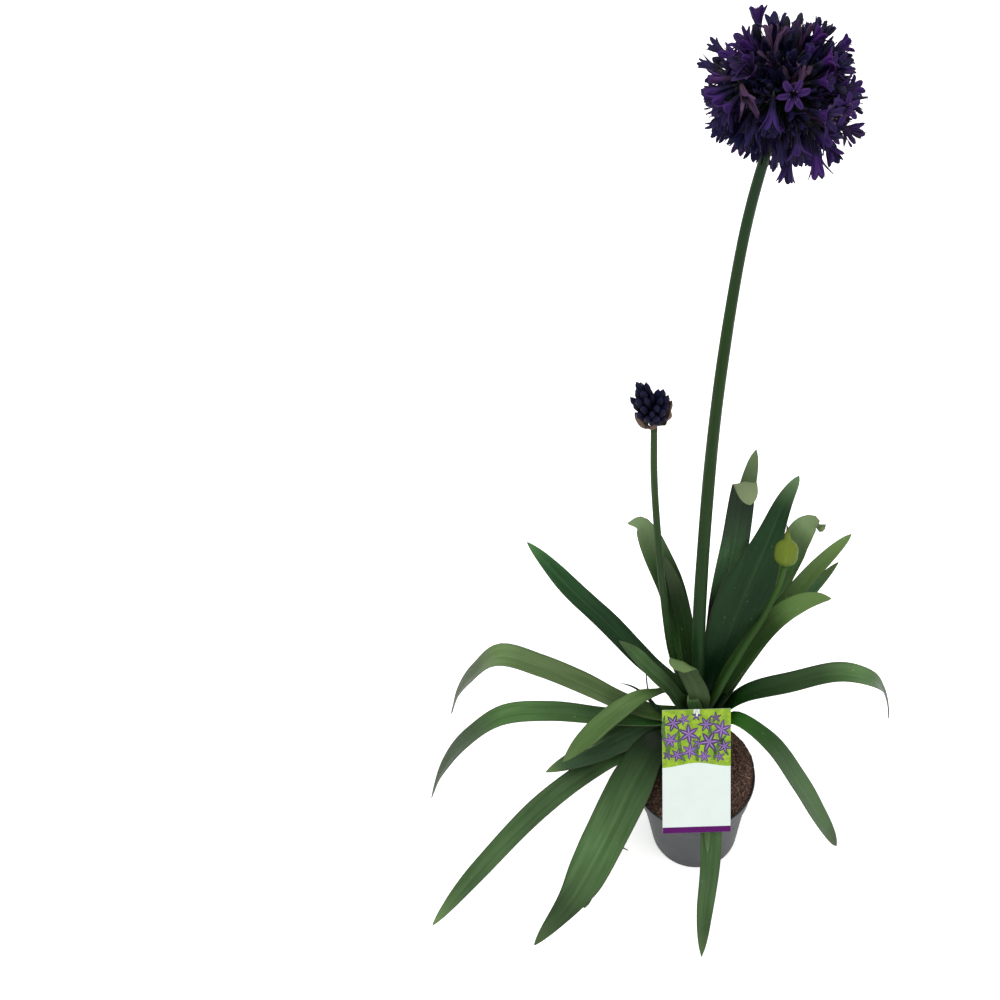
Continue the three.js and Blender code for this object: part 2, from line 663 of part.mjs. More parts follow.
function labelGeometry() {
  const { width, length, thickness, holeRadius, holeDrop } = label;
  const card = new THREE.Shape([
    new THREE.Vector2(-width / 2, 0), new THREE.Vector2(width / 2, 0),
    new THREE.Vector2(width / 2, length), new THREE.Vector2(-width / 2, length),
  ]);
  const hole = new THREE.Path();
  hole.absarc(0, length - holeDrop, holeRadius, 0, 2 * Math.PI, true);
  card.holes.push(hole);
  const sheet = new THREE.ExtrudeGeometry(card, { depth: thickness, bevelEnabled: false, curveSegments: 6 });
  return sheet.applyMatrix4(labelPlacement());
}

// The hook stands in the soil behind the card, and its arm comes forward through the hole.
function hookSolid(clearance) {
  const wire = hook.wire + clearance;
  const placement = labelPlacement();
  const hole = new THREE.Vector3(0, label.length - label.holeDrop, 0).applyMatrix4(placement);
  const ahead = new THREE.Vector3(0, 0, 1).transformDirection(placement);
  const reach = (distance) => hole.clone().addScaledVector(ahead, distance).toArray();
  const buttonAt = label.thickness + gap + hook.button * hook.buttonFlatness;
  const post = (height) => [hole.x, hole.y - hook.behind, height];
  const arm = stem([
    post(hook.footHeight - clearance), post(140), post(190), reach(-hook.behind), reach(0), reach(buttonAt),
  ], wire, wire, 12, 6);
  const button = new THREE.SphereGeometry(hook.button + clearance, 10, 6);
  button.scale(1, 1, hook.buttonFlatness).applyQuaternion(aim(ahead)).translate(...reach(buttonAt));
  return joined([arm, button]);
}

// ---- assembly --------------------------------------------------------------------------

const plant = new THREE.Group();

function add(name, geometry, material) {
  const mesh = new THREE.Mesh(geometry, material);
  mesh.name = name;
  plant.add(mesh);
}

add("pot", potGeometry(), paint.pot());
add("soil", soilGeometry(), paint.soil());
add("crown", toGeometry(crownSolid(0)), paint.leafBase());
Object.entries(leaves).forEach(([name, leaf]) => {
  add(`leaf_${name}`, leafGeometry(leaf), paint.leaf());
});
add("scape_in_bloom", scapeGeometry(scapes.main, receptacleGeometry()), paint.scape());
add("scape_opening", scapeGeometry(scapes.left), paint.scape());
add("scape_closed_bud", scapeGeometry(scapes.closed), paint.scape());
umbel.rows.flatMap(groupsOfRow).forEach((directions, i) => {
  add(`florets_${String(i + 1).padStart(2, "0")}`, floretGroupGeometry(directions, i), paint.flower());
});
add("opening_bud_cluster", budClusterGeometry(), paint.darkBud());
add("opening_bract_left", bractGeometry(200, 21), paint.bract());
add("opening_bract_right", bractGeometry(10, 27), paint.bract());
add("closed_bud", closedBudGeometry(), paint.paleBud());
add("label", labelGeometry(), paint.label());
add("label_hook", toGeometry(hookSolid(0)), paint.hook());

export default plant;
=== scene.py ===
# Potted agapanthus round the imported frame: strap leaves, flower heads, pot, soil and hung label
import math

import bpy
import numpy as np
from mathutils import Matrix, Vector


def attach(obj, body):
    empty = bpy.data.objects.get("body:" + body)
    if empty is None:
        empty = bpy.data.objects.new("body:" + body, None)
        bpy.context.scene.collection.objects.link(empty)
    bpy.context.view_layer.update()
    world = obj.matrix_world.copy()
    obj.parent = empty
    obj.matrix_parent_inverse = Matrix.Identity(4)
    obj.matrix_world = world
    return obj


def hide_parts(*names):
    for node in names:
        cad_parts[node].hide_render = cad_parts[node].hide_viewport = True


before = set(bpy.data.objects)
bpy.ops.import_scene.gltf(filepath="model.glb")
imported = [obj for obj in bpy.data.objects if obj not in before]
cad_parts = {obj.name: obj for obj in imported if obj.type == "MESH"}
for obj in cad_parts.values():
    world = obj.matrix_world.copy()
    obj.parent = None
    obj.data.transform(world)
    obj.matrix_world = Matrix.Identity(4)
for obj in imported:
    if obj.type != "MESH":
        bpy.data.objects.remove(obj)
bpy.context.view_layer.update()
mm = 0.001  # shapes are written in millimetres and scaled once, when a piece is made


# Shapes are rows of points; every part of a piece goes into one bunch

def unit(v):
    return v / np.maximum(np.linalg.norm(v, axis=-1, keepdims=True), 1e-9)


def smooth(x, low=0.0, high=1.0):
    u = np.clip((np.asarray(x, float) - low) / (high - low), 0, 1)
    return u * u * (3 - 2 * u)


def blend(a, b, share):
    return a + (b - a) * share


def vec(*numbers):
    return np.array(numbers, float)


def turns(count):
    return np.arange(count) * 2 * np.pi / count


def gridOf(across, along, third):
    return np.stack(np.broadcast_arrays(across, along, third), -1)


def roundRow(radius, angle, z):
    return gridOf(radius * np.cos(angle), radius * np.sin(angle), z)


def easeBetween(a, leaving, b, arriving, u):
    # A cubic from a to b with the ways it leaves and arrives
    return (a * (2 * u**3 - 3 * u**2 + 1) + leaving * (u**3 - 2 * u**2 + u)
            + b * (3 * u**2 - 2 * u**3) + arriving * (u**3 - u**2))


class Bunch:
    # place: across -1 to 1, along 0 to 1, under 0 or 1. grain: mm across, mm along, own number.
    # age: 0 fresh to 1 withered, or for crumbs and fibres 0 dark to 1 pale. The last layer: 0 dull to 1
    # bright for florets; on leaves a factor on the colour that paints light and shade along the leaf.
    layers = (("place", "FLOAT_VECTOR"), ("grain", "FLOAT_VECTOR"), ("age", "FLOAT"), ("tint", "FLOAT"))

    def __init__(self):
        self.points, self.faces, self.place, self.grain, self.age, self.tint = [], [], [], [], [], []
        self.count = 0

    def add(self, points, blocks, place, grain, age=0.0, tint=0.0):
        # Each block is an array of faces with the same number of corners
        points = np.asarray(points, float).reshape(-1, 3)
        self.points.append(points)
        for block in blocks:
            self.faces += (block + self.count).tolist()
        self.place.append(np.asarray(place, float).reshape(-1, 3))
        self.grain.append(np.asarray(grain, float).reshape(-1, 3))
        self.age.append(np.full(len(points), float(age)))
        self.tint.append(np.broadcast_to(np.asarray(tint, float), len(points)))
        self.count += len(points)

    def mesh(self, name):
        made = bpy.data.meshes.new(name)
        made.from_pydata((np.concatenate(self.points) * mm).tolist(), [], self.faces)
        for key, kind in self.layers:
            layer = made.attributes.new(key, kind, "POINT")
            values = np.concatenate(getattr(self, key)).ravel()
            layer.data.foreach_set("value" if kind == "FLOAT" else "vector", values)
        return made


def makePiece(name, bunch, finish, stands, flat=False):
    mesh = bunch.mesh(name)
    mesh.materials.append(finish)
    mesh.polygons.foreach_set("use_smooth", [not flat] * len(mesh.polygons))
    mesh.validate()
    mesh.update()
    piece = bpy.data.objects.new(name, mesh)
    bpy.context.scene.collection.objects.link(piece)
    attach(piece, "root")
    if stands:
        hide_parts(*stands)
    return piece


def route(points, shares):
    # A smooth way through the points; shares are parts of its length from 0 to 1
    p = np.array(points, float)
    p = np.vstack([2 * p[0] - p[1], p, 2 * p[-1] - p[-2]])
    dense = []
    for i in range(1, len(p) - 2):
        a, b, c, d = p[i - 1:i + 3]
        ab, bc, cd = (math.sqrt(np.linalg.norm(v)) for v in (b - a, c - b, d - c))
        leaving = ((b - a) / ab - (c - a) / (ab + bc) + (c - b) / bc) * bc
        arriving = ((c - b) / bc - (d - b) / (bc + cd) + (d - c) / cd) * bc
        u = np.linspace(0, 1, 40, endpoint=i == len(p) - 3)[:, None]
        dense.append(easeBetween(b, leaving, c, arriving, u))
    dense = np.concatenate(dense)
    run = np.concatenate([[0], np.cumsum(np.linalg.norm(np.diff(dense, axis=0), axis=1))])
    at = np.asarray(shares, float) * run[-1]
    step = run[-1] * 0.004  # the way's direction is taken over this length on both sides
    spot, ahead, back = (np.stack([np.interp(s, run, dense[:, k]) for k in range(3)], 1)
                         for s in (at, at + step, at - step))
    return spot, unit(ahead - back), run[-1]


def sheet(bunch, rows, thick, place, grain, age=0.0, tint=0.0):
    # A thin closed sheet: rows of points run from its foot to its tip, each from right to left
    n, m = rows.shape[:2]
    out = unit(np.cross(np.gradient(rows, axis=0), np.gradient(rows, axis=1)))
    lift = out * (np.broadcast_to(thick, (n, m))[..., None] / 2)
    k = np.arange(n * m).reshape(n, m)
    top = np.stack([k[:-1, :-1], k[1:, :-1], k[1:, 1:], k[:-1, 1:]], -1).reshape(-1, 4)
    low = top[:, ::-1] + n * m
    rims = []
    for line, turned in ((k[:, 0], False), (k[:, -1], True), (k[0, ::-1], False), (k[-1], False)):
        line = line[::-1] if turned else line
        rims.append(np.stack([line[:-1], line[:-1] + n * m, line[1:] + n * m, line[1:]], -1))
    bunch.add(np.concatenate([(rows + lift).reshape(-1, 3), (rows - lift).reshape(-1, 3)]),
              [np.concatenate([top, low] + rims)],
              np.concatenate([place.reshape(-1, 3), place.reshape(-1, 3) + vec(0, 0, 1)]),
              np.concatenate([grain.reshape(-1, 3)] * 2), age, tint)


def crossWays(tangent, heading):
    heading = np.broadcast_to(heading, len(tangent))
    side = np.stack([-np.sin(heading), np.cos(heading), np.zeros(len(tangent))], -1)
    side = unit(side - tangent * (side * tangent).sum(-1, keepdims=True))
    return side, np.cross(tangent, side)


def bladeRows(spots, side, up, across, rise):
    return spots[:, None] + side[:, None] * across[..., None] + up[:, None] * rise[..., None]


def ringsAlong(centres, tangents, radii, sides, flat=1.0):
    # Round sections carried along a way without twisting
    side = unit(np.cross(tangents[0], vec(0.3, 0.2, 1.0) if abs(tangents[0][2]) < 0.9 else vec(1, 0, 0)))
    angle = turns(sides)[:, None]
    rows = []
    for centre, tangent, radius in zip(centres, tangents, radii):
        side = unit(side - tangent * side.dot(tangent))
        other = np.cross(tangent, side)
        rows.append(centre + radius * (np.cos(angle) * side + flat * np.sin(angle) * other))
    return np.stack(rows)


def closedRows(bunch, rows, age=0.0, number=0.0, alongShares=None):
    # Skins rows of closed rings, foot first, and caps both ends with a fan
    n, m = rows.shape[:2]
    k = np.arange(n * m).reshape(n, m)
    nextOne = np.roll(k, -1, axis=1)
    blocks = [np.stack([k[:-1], nextOne[:-1], nextOne[1:], k[1:]], -1).reshape(-1, 4)]
    middles = rows.mean(1)
    gap = np.concatenate([[0], np.cumsum(np.linalg.norm(np.diff(middles, axis=0), axis=1))])
    along = gap / max(gap[-1], 1e-6) if alongShares is None else np.asarray(alongShares)
    angle = turns(m)
    radius = np.linalg.norm(rows - middles[:, None], axis=2)
    points = [rows.reshape(-1, 3)]
    places = [gridOf(np.cos(angle), along[:, None], 0.0).reshape(-1, 3)]
    grains = [gridOf(radius * np.cos(angle), gap[:, None], radius * np.sin(angle) + number).reshape(-1, 3)]
    for row, turned in ((0, True), (n - 1, False)):
        hub = n * m + len(points) - 1
        points.append(middles[row][None])
        places.append(vec(0, along[row], 0)[None])
        grains.append(vec(0, gap[row], number)[None])
        ring = np.stack([k[row], nextOne[row], np.full(m, hub)], -1)
        blocks.append(ring[:, ::-1] if turned else ring)
    bunch.add(np.concatenate(points), blocks, np.concatenate(places), np.concatenate(grains), age)


def tube(bunch, points, radii, steps, sides, age=0.0, number=0.0):
    shares = np.linspace(0, 1, steps + 1)
    spots, tangents = route(points, shares)[:2]
    radius = np.interp(shares, np.linspace(0, 1, len(radii)), radii)
    closedRows(bunch, ringsAlong(spots, tangents, radius, sides), age, number)


def turnedRows(profile, sides):
    return np.stack([roundRow(r, turns(sides), z) for r, z in profile])


def ballRows(radius, base, rows, sides):
    # base: how far the ball's middle stands above its origin
    return turnedRows([(radius * math.sin(a), radius * (base - math.cos(a)))
                       for a in np.linspace(0.05, math.pi - 0.05, rows)], sides)


def aimed(direction, spin=0.0):
    # Turns +Z to the direction, after a spin about +Z
    d = unit(np.asarray(direction, float))
    side = unit(np.cross(vec(0, 0, 1) if abs(d[2]) < 0.95 else vec(0, 1, 0), d))
    other = np.cross(d, side)
    c, s = math.cos(spin), math.sin(spin)
    return np.stack([side * c + other * s, other * c - side * s, d], 0)


# Finishes

class Wires:
    # Adds nodes to one tree and joins them
    def __init__(self, tree):
        self.tree = tree

    def node(self, kind, **settings):
        made = self.tree.nodes.new(kind)
        for key, value in settings.items():
            setattr(made, key, value)
        return made

    def feed(self, socket, value):
        if isinstance(value, bpy.types.NodeSocket):
            self.tree.links.new(value, socket)
        elif value is not None:
            if socket.type == "RGBA" and len(value) == 3:
                value = (*value, 1)
            socket.default_value = value

    def math(self, operation, a, b=None):
        made = self.node("ShaderNodeMath", operation=operation)
        for socket, value in zip(made.inputs, (a, b)):
            self.feed(socket, value)
        return made.outputs[0]

    def mix(self, share, a, b, kind="MIX"):
        made = self.node("ShaderNodeMix", data_type="RGBA", blend_type=kind)
        self.feed(made.inputs[0], share)
        self.feed(made.inputs[6], a)
        self.feed(made.inputs[7], b)
        return made.outputs[2]

    def veined(self, colour, share, marks, shade):
        # Darkens the colour by the shade along the veins
        darker = self.mix(1.0, colour, shade, "MULTIPLY")
        return self.mix(self.math("MULTIPLY", marks["Veins"], share), colour, darker)

    def spread(self, value, low, high, to=(0.0, 1.0)):
        made = self.node("ShaderNodeMapRange", interpolation_type="SMOOTHSTEP")
        for socket, given in zip(made.inputs, (value, low, high, *to)):
            self.feed(socket, given)
        return made.outputs[0]

    def noise(self, vector, scale, detail=2.0, roughness=0.5):
        made = self.node("ShaderNodeTexNoise")
        for key, given in zip(("Vector", "Scale", "Detail", "Roughness"), (vector, scale, detail, roughness)):
            self.feed(made.inputs[key], given)
        return made.outputs["Fac"]

    def drawnOut(self, vector, along):
        made = self.node("ShaderNodeVectorMath", operation="MULTIPLY")
        self.feed(made.inputs[0], vector)
        made.inputs[1].default_value = (1, along, 1)
        return made.outputs[0]

    def read(self, name, output="Vector"):
        return self.node("ShaderNodeAttribute", attribute_name=name).outputs[output]

    def parts(self, vector):
        made = self.node("ShaderNodeSeparateXYZ")
        self.feed(made.inputs[0], vector)
        return made.outputs


def makeGroup(name, takes, gives):
    group = bpy.data.node_groups.new(name, "ShaderNodeTree")
    for label, kind, value in takes:
        made = group.interface.new_socket(name=label, in_out="INPUT", socket_type="NodeSocket" + kind)
        made.default_value = (*value, 1) if kind == "Color" else value
    for label, kind in gives:
        group.interface.new_socket(name=label, in_out="OUTPUT", socket_type="NodeSocket" + kind)
    wires = Wires(group)
    return group, wires, wires.node("NodeGroupInput").outputs, wires.node("NodeGroupOutput").inputs


def growthGroup():
    # Long fine veins, soft long streaks, cloudy patches and tiny scars, along the plant's own fibres
    group, w, take, give = makeGroup("plantGrowth", [
        ("Vein Width", "Float", 1.1), ("Streak Width", "Float", 0.16), ("Cloud Size", "Float", 0.05)],
        [("Veins", "Float"), ("Streaks", "Float"), ("Clouds", "Float"), ("Scars", "Float")])
    grain = w.read("grain")
    for label, along, scale, detail, roughness, low, high in (
            ("Veins", 0.018, take["Vein Width"], 3.0, 0.6, 0.3, 0.7),
            ("Streaks", 0.06, take["Streak Width"], 2.0, 0.5, 0.3, 0.7),
            ("Clouds", 0.35, take["Cloud Size"], 3.0, 0.55, 0.32, 0.68),
            ("Scars", 0.3, 0.55, 1.0, 0.4, 0.76, 0.82)):
        marks = w.noise(w.drawnOut(grain, along), scale, detail, roughness)
        w.feed(give[label], w.spread(marks, low, high))
    return group


def mottleGroup():
    # Object-space mottling at two scales, for pot, soil and card
    group, w, take, give = makeGroup("fineMottle", [
        ("Coarse Scale", "Float", 60.0), ("Fine Scale", "Float", 900.0)],
        [("Coarse", "Float"), ("Fine", "Float")])
    spot = w.node("ShaderNodeTexCoord").outputs["Object"]
    w.feed(give["Coarse"], w.spread(w.noise(spot, take["Coarse Scale"], 4.0, 0.6), 0.3, 0.7))
    w.feed(give["Fine"], w.noise(spot, take["Fine Scale"], 2.0, 0.5))
    return group


growth = growthGroup()
mottle = mottleGroup()


def startFinish(name):
    made = bpy.data.materials.new(name)
    made.use_nodes = True
    made.node_tree.nodes.clear()
    w = Wires(made.node_tree)
    shader = w.node("ShaderNodeBsdfPrincipled")
    w.feed(w.node("ShaderNodeOutputMaterial").inputs["Surface"], shader.outputs["BSDF"])
    return made, w, shader


def placeGroup(w, group, **values):
    made = w.node("ShaderNodeGroup", node_tree=group)
    for key, value in values.items():
        made.inputs[key].default_value = value
    return made.outputs


def endFinish(w, shader, colour, marks, roughness, specular, height, distance, strength=0.5, span=(0, 1)):
    # The roughness runs from its first to its second value as the marks run through the span
    w.feed(shader.inputs["Base Color"], colour)
    w.feed(shader.inputs["Roughness"], w.spread(marks, *span, roughness))
    shader.inputs["Specular IOR Level"].default_value = specular
    bump = w.node("ShaderNodeBump")
    bump.inputs["Strength"].default_value = strength
    bump.inputs["Distance"].default_value = distance
    w.feed(bump.inputs["Height"], height)
    w.feed(shader.inputs["Normal"], bump.outputs["Normal"])


def leafFinish(name, deep, light, rib, foot, tip, under, tipFrom=0.86, footTo=0.46):
    made, w, shader = startFinish(name)
    skin = placeGroup(w, growth, **{"Vein Width": 1.5, "Streak Width": 0.2, "Cloud Size": 0.03})
    across, along, below = w.parts(w.read("place"))
    edge = w.math("ABSOLUTE", across)
    shade = w.math("ADD", w.math("MULTIPLY", skin["Streaks"], 0.6), w.math("MULTIPLY", skin["Clouds"], 0.4))
    colour = w.mix(shade, deep, light)
    colour = w.mix(w.spread(edge, 0.1, 0.015, (0.0, 0.32)), colour, rib)
    colour = w.veined(colour, 0.3, skin, (0.62, 0.7, 0.6))
    # Darker towards the foot: partly the leaf's own darker base, partly painted shade where the leaves sit
    # inside the crown
    colour = w.mix(w.spread(along, footTo, footTo * 0.25, (0.0, 0.97)), colour, foot)
    colour = w.mix(w.spread(along, tipFrom, 1.0, (0.0, 0.8)), colour, tip)
    colour = w.mix(w.math("MULTIPLY", below, 0.8), colour, under)
    colour = w.mix(w.spread(edge, 0.93, 1.0, (0.0, 0.7)), colour, (0.04, 0.035, 0.02))
    colour = w.mix(w.math("MULTIPLY", skin["Scars"], 0.3), colour, (0.3, 0.33, 0.2))
    colour = w.mix(1.0, colour, w.read("tint", "Fac"), "MULTIPLY")  # painted highlight and painted shade along the leaf
    endFinish(w, shader, colour, shade, (0.42, 0.56), 0.13, skin["Veins"], 0.00035)
    return made


# deep, light, midrib, foot, tip, underside, where along the leaf the tip's colour starts and the foot's ends.
# The rows are partly the leaves' own colours and partly painted light and shade: deep, shade and folded
# are darker copies for leaves in shade at the back and inside the crown, light is a lighter copy for a lit
# bend, and folded's pale tip is a painted highlight on its lit flap. The foot colour is partly the leaves'
# own darker base and partly painted shade inside the crown.
leafTones = {
    "deep": ((0.0078, 0.0295, 0.0095), (0.0165, 0.049, 0.0155), (0.036, 0.085, 0.028),
             (0.0005, 0.01, 0.0015), (0.07, 0.125, 0.05), (0.07, 0.13, 0.05), 0.86, 0.6),
    "curling": ((0.0085, 0.031, 0.005), (0.019, 0.053, 0.0095), (0.04, 0.092, 0.024),
                (0.013, 0.036, 0.009), (0.13, 0.19, 0.09), (0.13, 0.19, 0.09), 0.7, 0.3),
    "shade": ((0.0045, 0.024, 0.007), (0.0135, 0.047, 0.013), (0.034, 0.085, 0.024),
              (0.008, 0.033, 0.003), (0.026, 0.066, 0.021), (0.07, 0.125, 0.05)),
    "bluish": ((0.02, 0.051, 0.02), (0.038, 0.079, 0.035), (0.055, 0.11, 0.044),
               (0.006, 0.025, 0.006), (0.11, 0.17, 0.055), (0.08, 0.14, 0.06)),
    "middle": ((0.029, 0.064, 0.019), (0.055, 0.105, 0.039), (0.078, 0.142, 0.046),
               (0.006, 0.024, 0.003), (0.084, 0.138, 0.05), (0.08, 0.14, 0.055)),
    "hanging": ((0.029, 0.064, 0.019), (0.055, 0.105, 0.039), (0.078, 0.142, 0.046),
                (0.008, 0.055, 0.0005), (0.084, 0.138, 0.05), (0.08, 0.14, 0.055), 0.9, 0.68),
    "lively": ((0.054, 0.103, 0.028), (0.088, 0.152, 0.046), (0.1, 0.165, 0.05),
               (0.03, 0.07, 0.014), (0.085, 0.13, 0.045), (0.1, 0.16, 0.06)),
    "arching": ((0.024, 0.06, 0.015), (0.047, 0.098, 0.03), (0.066, 0.127, 0.038),
                (0.003, 0.02, 0.002), (0.06, 0.1, 0.03), (0.08, 0.14, 0.055), 0.86, 0.36),
    "leaning": ((0.028, 0.061, 0.018), (0.05, 0.093, 0.034), (0.06, 0.11, 0.038),
                (0.0005, 0.022, 0.0005), (0.09, 0.125, 0.06), (0.08, 0.14, 0.055), 0.86, 0.72),
    "light": ((0.086, 0.146, 0.048), (0.135, 0.207, 0.079), (0.15, 0.225, 0.083),
              (0.014, 0.042, 0.005), (0.12, 0.15, 0.075), (0.11, 0.17, 0.07), 0.8, 0.34),
    "bending": ((0.032, 0.074, 0.021), (0.058, 0.108, 0.038), (0.075, 0.13, 0.045),
                (0.006, 0.024, 0.002), (0.18, 0.25, 0.115), (0.2, 0.27, 0.12), 0.74, 0.46),
    "tipped": ((0.0075, 0.029, 0.003), (0.018, 0.05, 0.0075), (0.044, 0.096, 0.018),
               (0.003, 0.019, 0.001), (0.1, 0.168, 0.046), (0.1, 0.16, 0.055), 0.55),
    "young": ((0.022, 0.046, 0.012), (0.043, 0.074, 0.025), (0.055, 0.09, 0.032),
              (0.016, 0.045, 0.007), (0.089, 0.139, 0.046), (0.093, 0.148, 0.05)),
    "folded": ((0.0125, 0.033, 0.013), (0.026, 0.054, 0.023), (0.036, 0.074, 0.028),
               (0.0005, 0.01, 0.002), (0.29, 0.36, 0.18), (0.29, 0.36, 0.18), 0.93, 0.6),
    "fresh": ((0.022, 0.06, 0.009), (0.042, 0.095, 0.016), (0.06, 0.12, 0.022),
              (0.012, 0.04, 0.004), (0.16, 0.2, 0.06), (0.08, 0.14, 0.045)),
    "dark": ((0.006, 0.022, 0.006), (0.016, 0.038, 0.013), (0.022, 0.05, 0.016),
             (0.002, 0.013, 0.002), (0.03, 0.045, 0.024), (0.02, 0.045, 0.018)),
}
leafFinishes = {key: leafFinish(key + "Leaf", *values) for key, values in leafTones.items()}


def sheathFinish():
    made, w, shader = startFinish("leafSheath")
    skin = placeGroup(w, growth, **{"Vein Width": 1.3, "Cloud Size": 0.09})
    along = w.parts(w.read("place"))[1]
    colour = w.mix(skin["Clouds"], (0.06, 0.13, 0.03), (0.13, 0.2, 0.06))
    colour = w.mix(w.spread(along, 0.5, 0.0, (0.0, 0.8)), colour, (0.3, 0.3, 0.16))
    colour = w.mix(w.math("MULTIPLY", skin["Veins"], 0.5), colour, (0.03, 0.06, 0.02))
    endFinish(w, shader, colour, skin["Clouds"], (0.42, 0.6), 0.5, skin["Veins"], 0.0006, 0.6)
    return made


def stemFinish(name, foot, middle, top, blush):
    made, w, shader = startFinish(name)
    skin = placeGroup(w, growth, **{"Vein Width": 1.0, "Cloud Size": 0.12})
    along = w.parts(w.read("place"))[1]
    colour = w.mix(w.spread(along, 0.0, 0.55), foot, middle)
    colour = w.mix(w.spread(along, 0.62, 1.0), colour, top)
    colour = w.veined(colour, 0.45, skin, (0.6, 0.62, 0.62))
    colour = w.mix(w.math("MULTIPLY", skin["Clouds"], blush), colour, (0.03, 0.018, 0.022))
    endFinish(w, shader, colour, skin["Clouds"], (0.42, 0.55), 0.12, skin["Veins"], 0.0003)
    return made


def petalFinish(name, colours):
    made, w, shader = startFinish(name)
    skin = placeGroup(w, growth, **{"Vein Width": 2.0, "Cloud Size": 0.14})
    across, along, below = w.parts(w.read("place"))
    age = w.read("age", "Fac")
    tint = w.read("tint", "Fac")
    edge = w.math("ABSOLUTE", across)
    lobe = w.mix(tint, colours["dull"], colours["bright"])
    colour = w.mix(w.spread(along, 0.25, 0.55), colours["tube"], lobe)
    line = w.math("MULTIPLY", w.spread(edge, 0.3, 0.08, (0.0, 0.75)), w.spread(along, 0.98, 0.8))
    colour = w.mix(line, colour, colours["stripe"])
    outer = w.math("MULTIPLY", tint, w.spread(along, 0.5, 0.75))
    rim = w.math("MULTIPLY", w.spread(edge, 0.55, 0.95, (0.0, 0.55)), outer)
    colour = w.veined(w.mix(rim, colour, colours["margin"]), 0.5, skin, (0.4, 0.38, 0.5))
    back = w.math("MULTIPLY", below, w.spread(tint, 0.0, 1.0, (0.8, 0.45)))
    colour = w.mix(back, colour, colours["back"])
    worn = w.mix(tint, colours["witheredDark"], colours["witheredPale"])
    colour = w.mix(w.math("MULTIPLY", age, w.spread(skin["Clouds"], 0.1, 0.9, (0.5, 1.0))), colour, worn)
    endFinish(w, shader, colour, skin["Clouds"], (0.5, 0.7), 0.07, skin["Veins"], 0.0003)
    return made


def budFinish(name, foot, body, tip, bloom, gloss=0.5, specular=0.15):
    made, w, shader = startFinish(name)
    skin = placeGroup(w, growth, **{"Vein Width": 1.4, "Cloud Size": 0.2})
    along = w.parts(w.read("place"))[1]
    colour = w.mix(w.spread(along, 0.0, 0.25), foot, body)
    colour = w.mix(w.spread(along, 0.75, 1.0), colour, tip)
    colour = w.veined(colour, 0.45, skin, (0.5, 0.5, 0.5))
    ageing = w.math("MULTIPLY", w.read("age", "Fac"), 0.12)
    haze = w.math("ADD", w.math("MULTIPLY", skin["Clouds"], bloom), ageing)
    colour = w.mix(haze, colour, w.mix(0.6, colour, (0.16, 0.15, 0.2)))
    endFinish(w, shader, colour, skin["Clouds"], (gloss, gloss + 0.2), specular, skin["Veins"], 0.0003)
    return made


def plainFinish(name, first, second, roughness, bumpDistance, coarse, fine, specular):
    made, w, shader = startFinish(name)
    spots = placeGroup(w, mottle, **{"Coarse Scale": coarse, "Fine Scale": fine})
    colour = w.mix(spots["Coarse"], first, second)
    endFinish(w, shader, colour, spots["Fine"], roughness, specular, spots["Fine"], bumpDistance, 0.4,
              (0.2, 0.8))
    return made


def soilFinish(name, dark, middle, pale):
    made, w, shader = startFinish(name)
    spots = placeGroup(w, mottle, **{"Coarse Scale": 160.0, "Fine Scale": 1400.0})
    age = w.read("age", "Fac")
    colour = w.mix(w.spread(age, 0.0, 0.45), dark, middle)
    colour = w.mix(w.spread(age, 0.6, 1.0), colour, pale)
    darker = w.mix(1.0, colour, (0.45, 0.4, 0.4), "MULTIPLY")
    colour = w.mix(w.math("MULTIPLY", spots["Coarse"], 0.35), colour, darker)
    endFinish(w, shader, colour, spots["Fine"], (0.75, 0.95), 0.2, spots["Fine"], 0.0006, 0.7, (0.2, 0.8))
    return made


print("Finishes are ready")


# The bundle of leaf bases leans back; leaves wrap it below the height where they leave it

bundle = {
    "x": 5, "rootY": 32, "topY": 44, "leanFrom": 105, "leanTo": 190,
    "heights": [84, 94, 112, 145, 180, 203, 213, 216], "radii": [10, 17.5, 18.6, 17, 15.4, 11.2, 5, 0.5],
    "freeFrom": 214,  # height above which no leaf is wrapped
    "clear": 1.0,  # how far off the bundle a leaf counts as free of it
    "sheathFoot": 113, "sheathRows": 9, "bendRows": 6, "bendRoom": 13, "leastSheath": 8,
    "wrap": 2.0, "outerLayer": 0.9, "layers": 3.0,
}


def bundleMiddle(z):
    z = np.asarray(z, float)
    y = blend(bundle["rootY"], bundle["topY"], smooth(z, bundle["leanFrom"], bundle["leanTo"]))
    return np.stack([np.full(z.shape, float(bundle["x"])), y, z], -1)


def bundleRadius(z):
    return np.interp(z, bundle["heights"], bundle["radii"])


leafShape = {
    "stations": 60, "columns": 14, "crowd": 1.2,  # closer columns beside the crease
    "crease": 1.12, "footCup": 1.8, "midThick": 1.5, "edgeThick": 0.5, "thickFall": 1.3, "tipThick": 0.75,
    "wave": 0.45, "waves": (9, 23), "rim": 0.02, "rimWaves": 17,
}

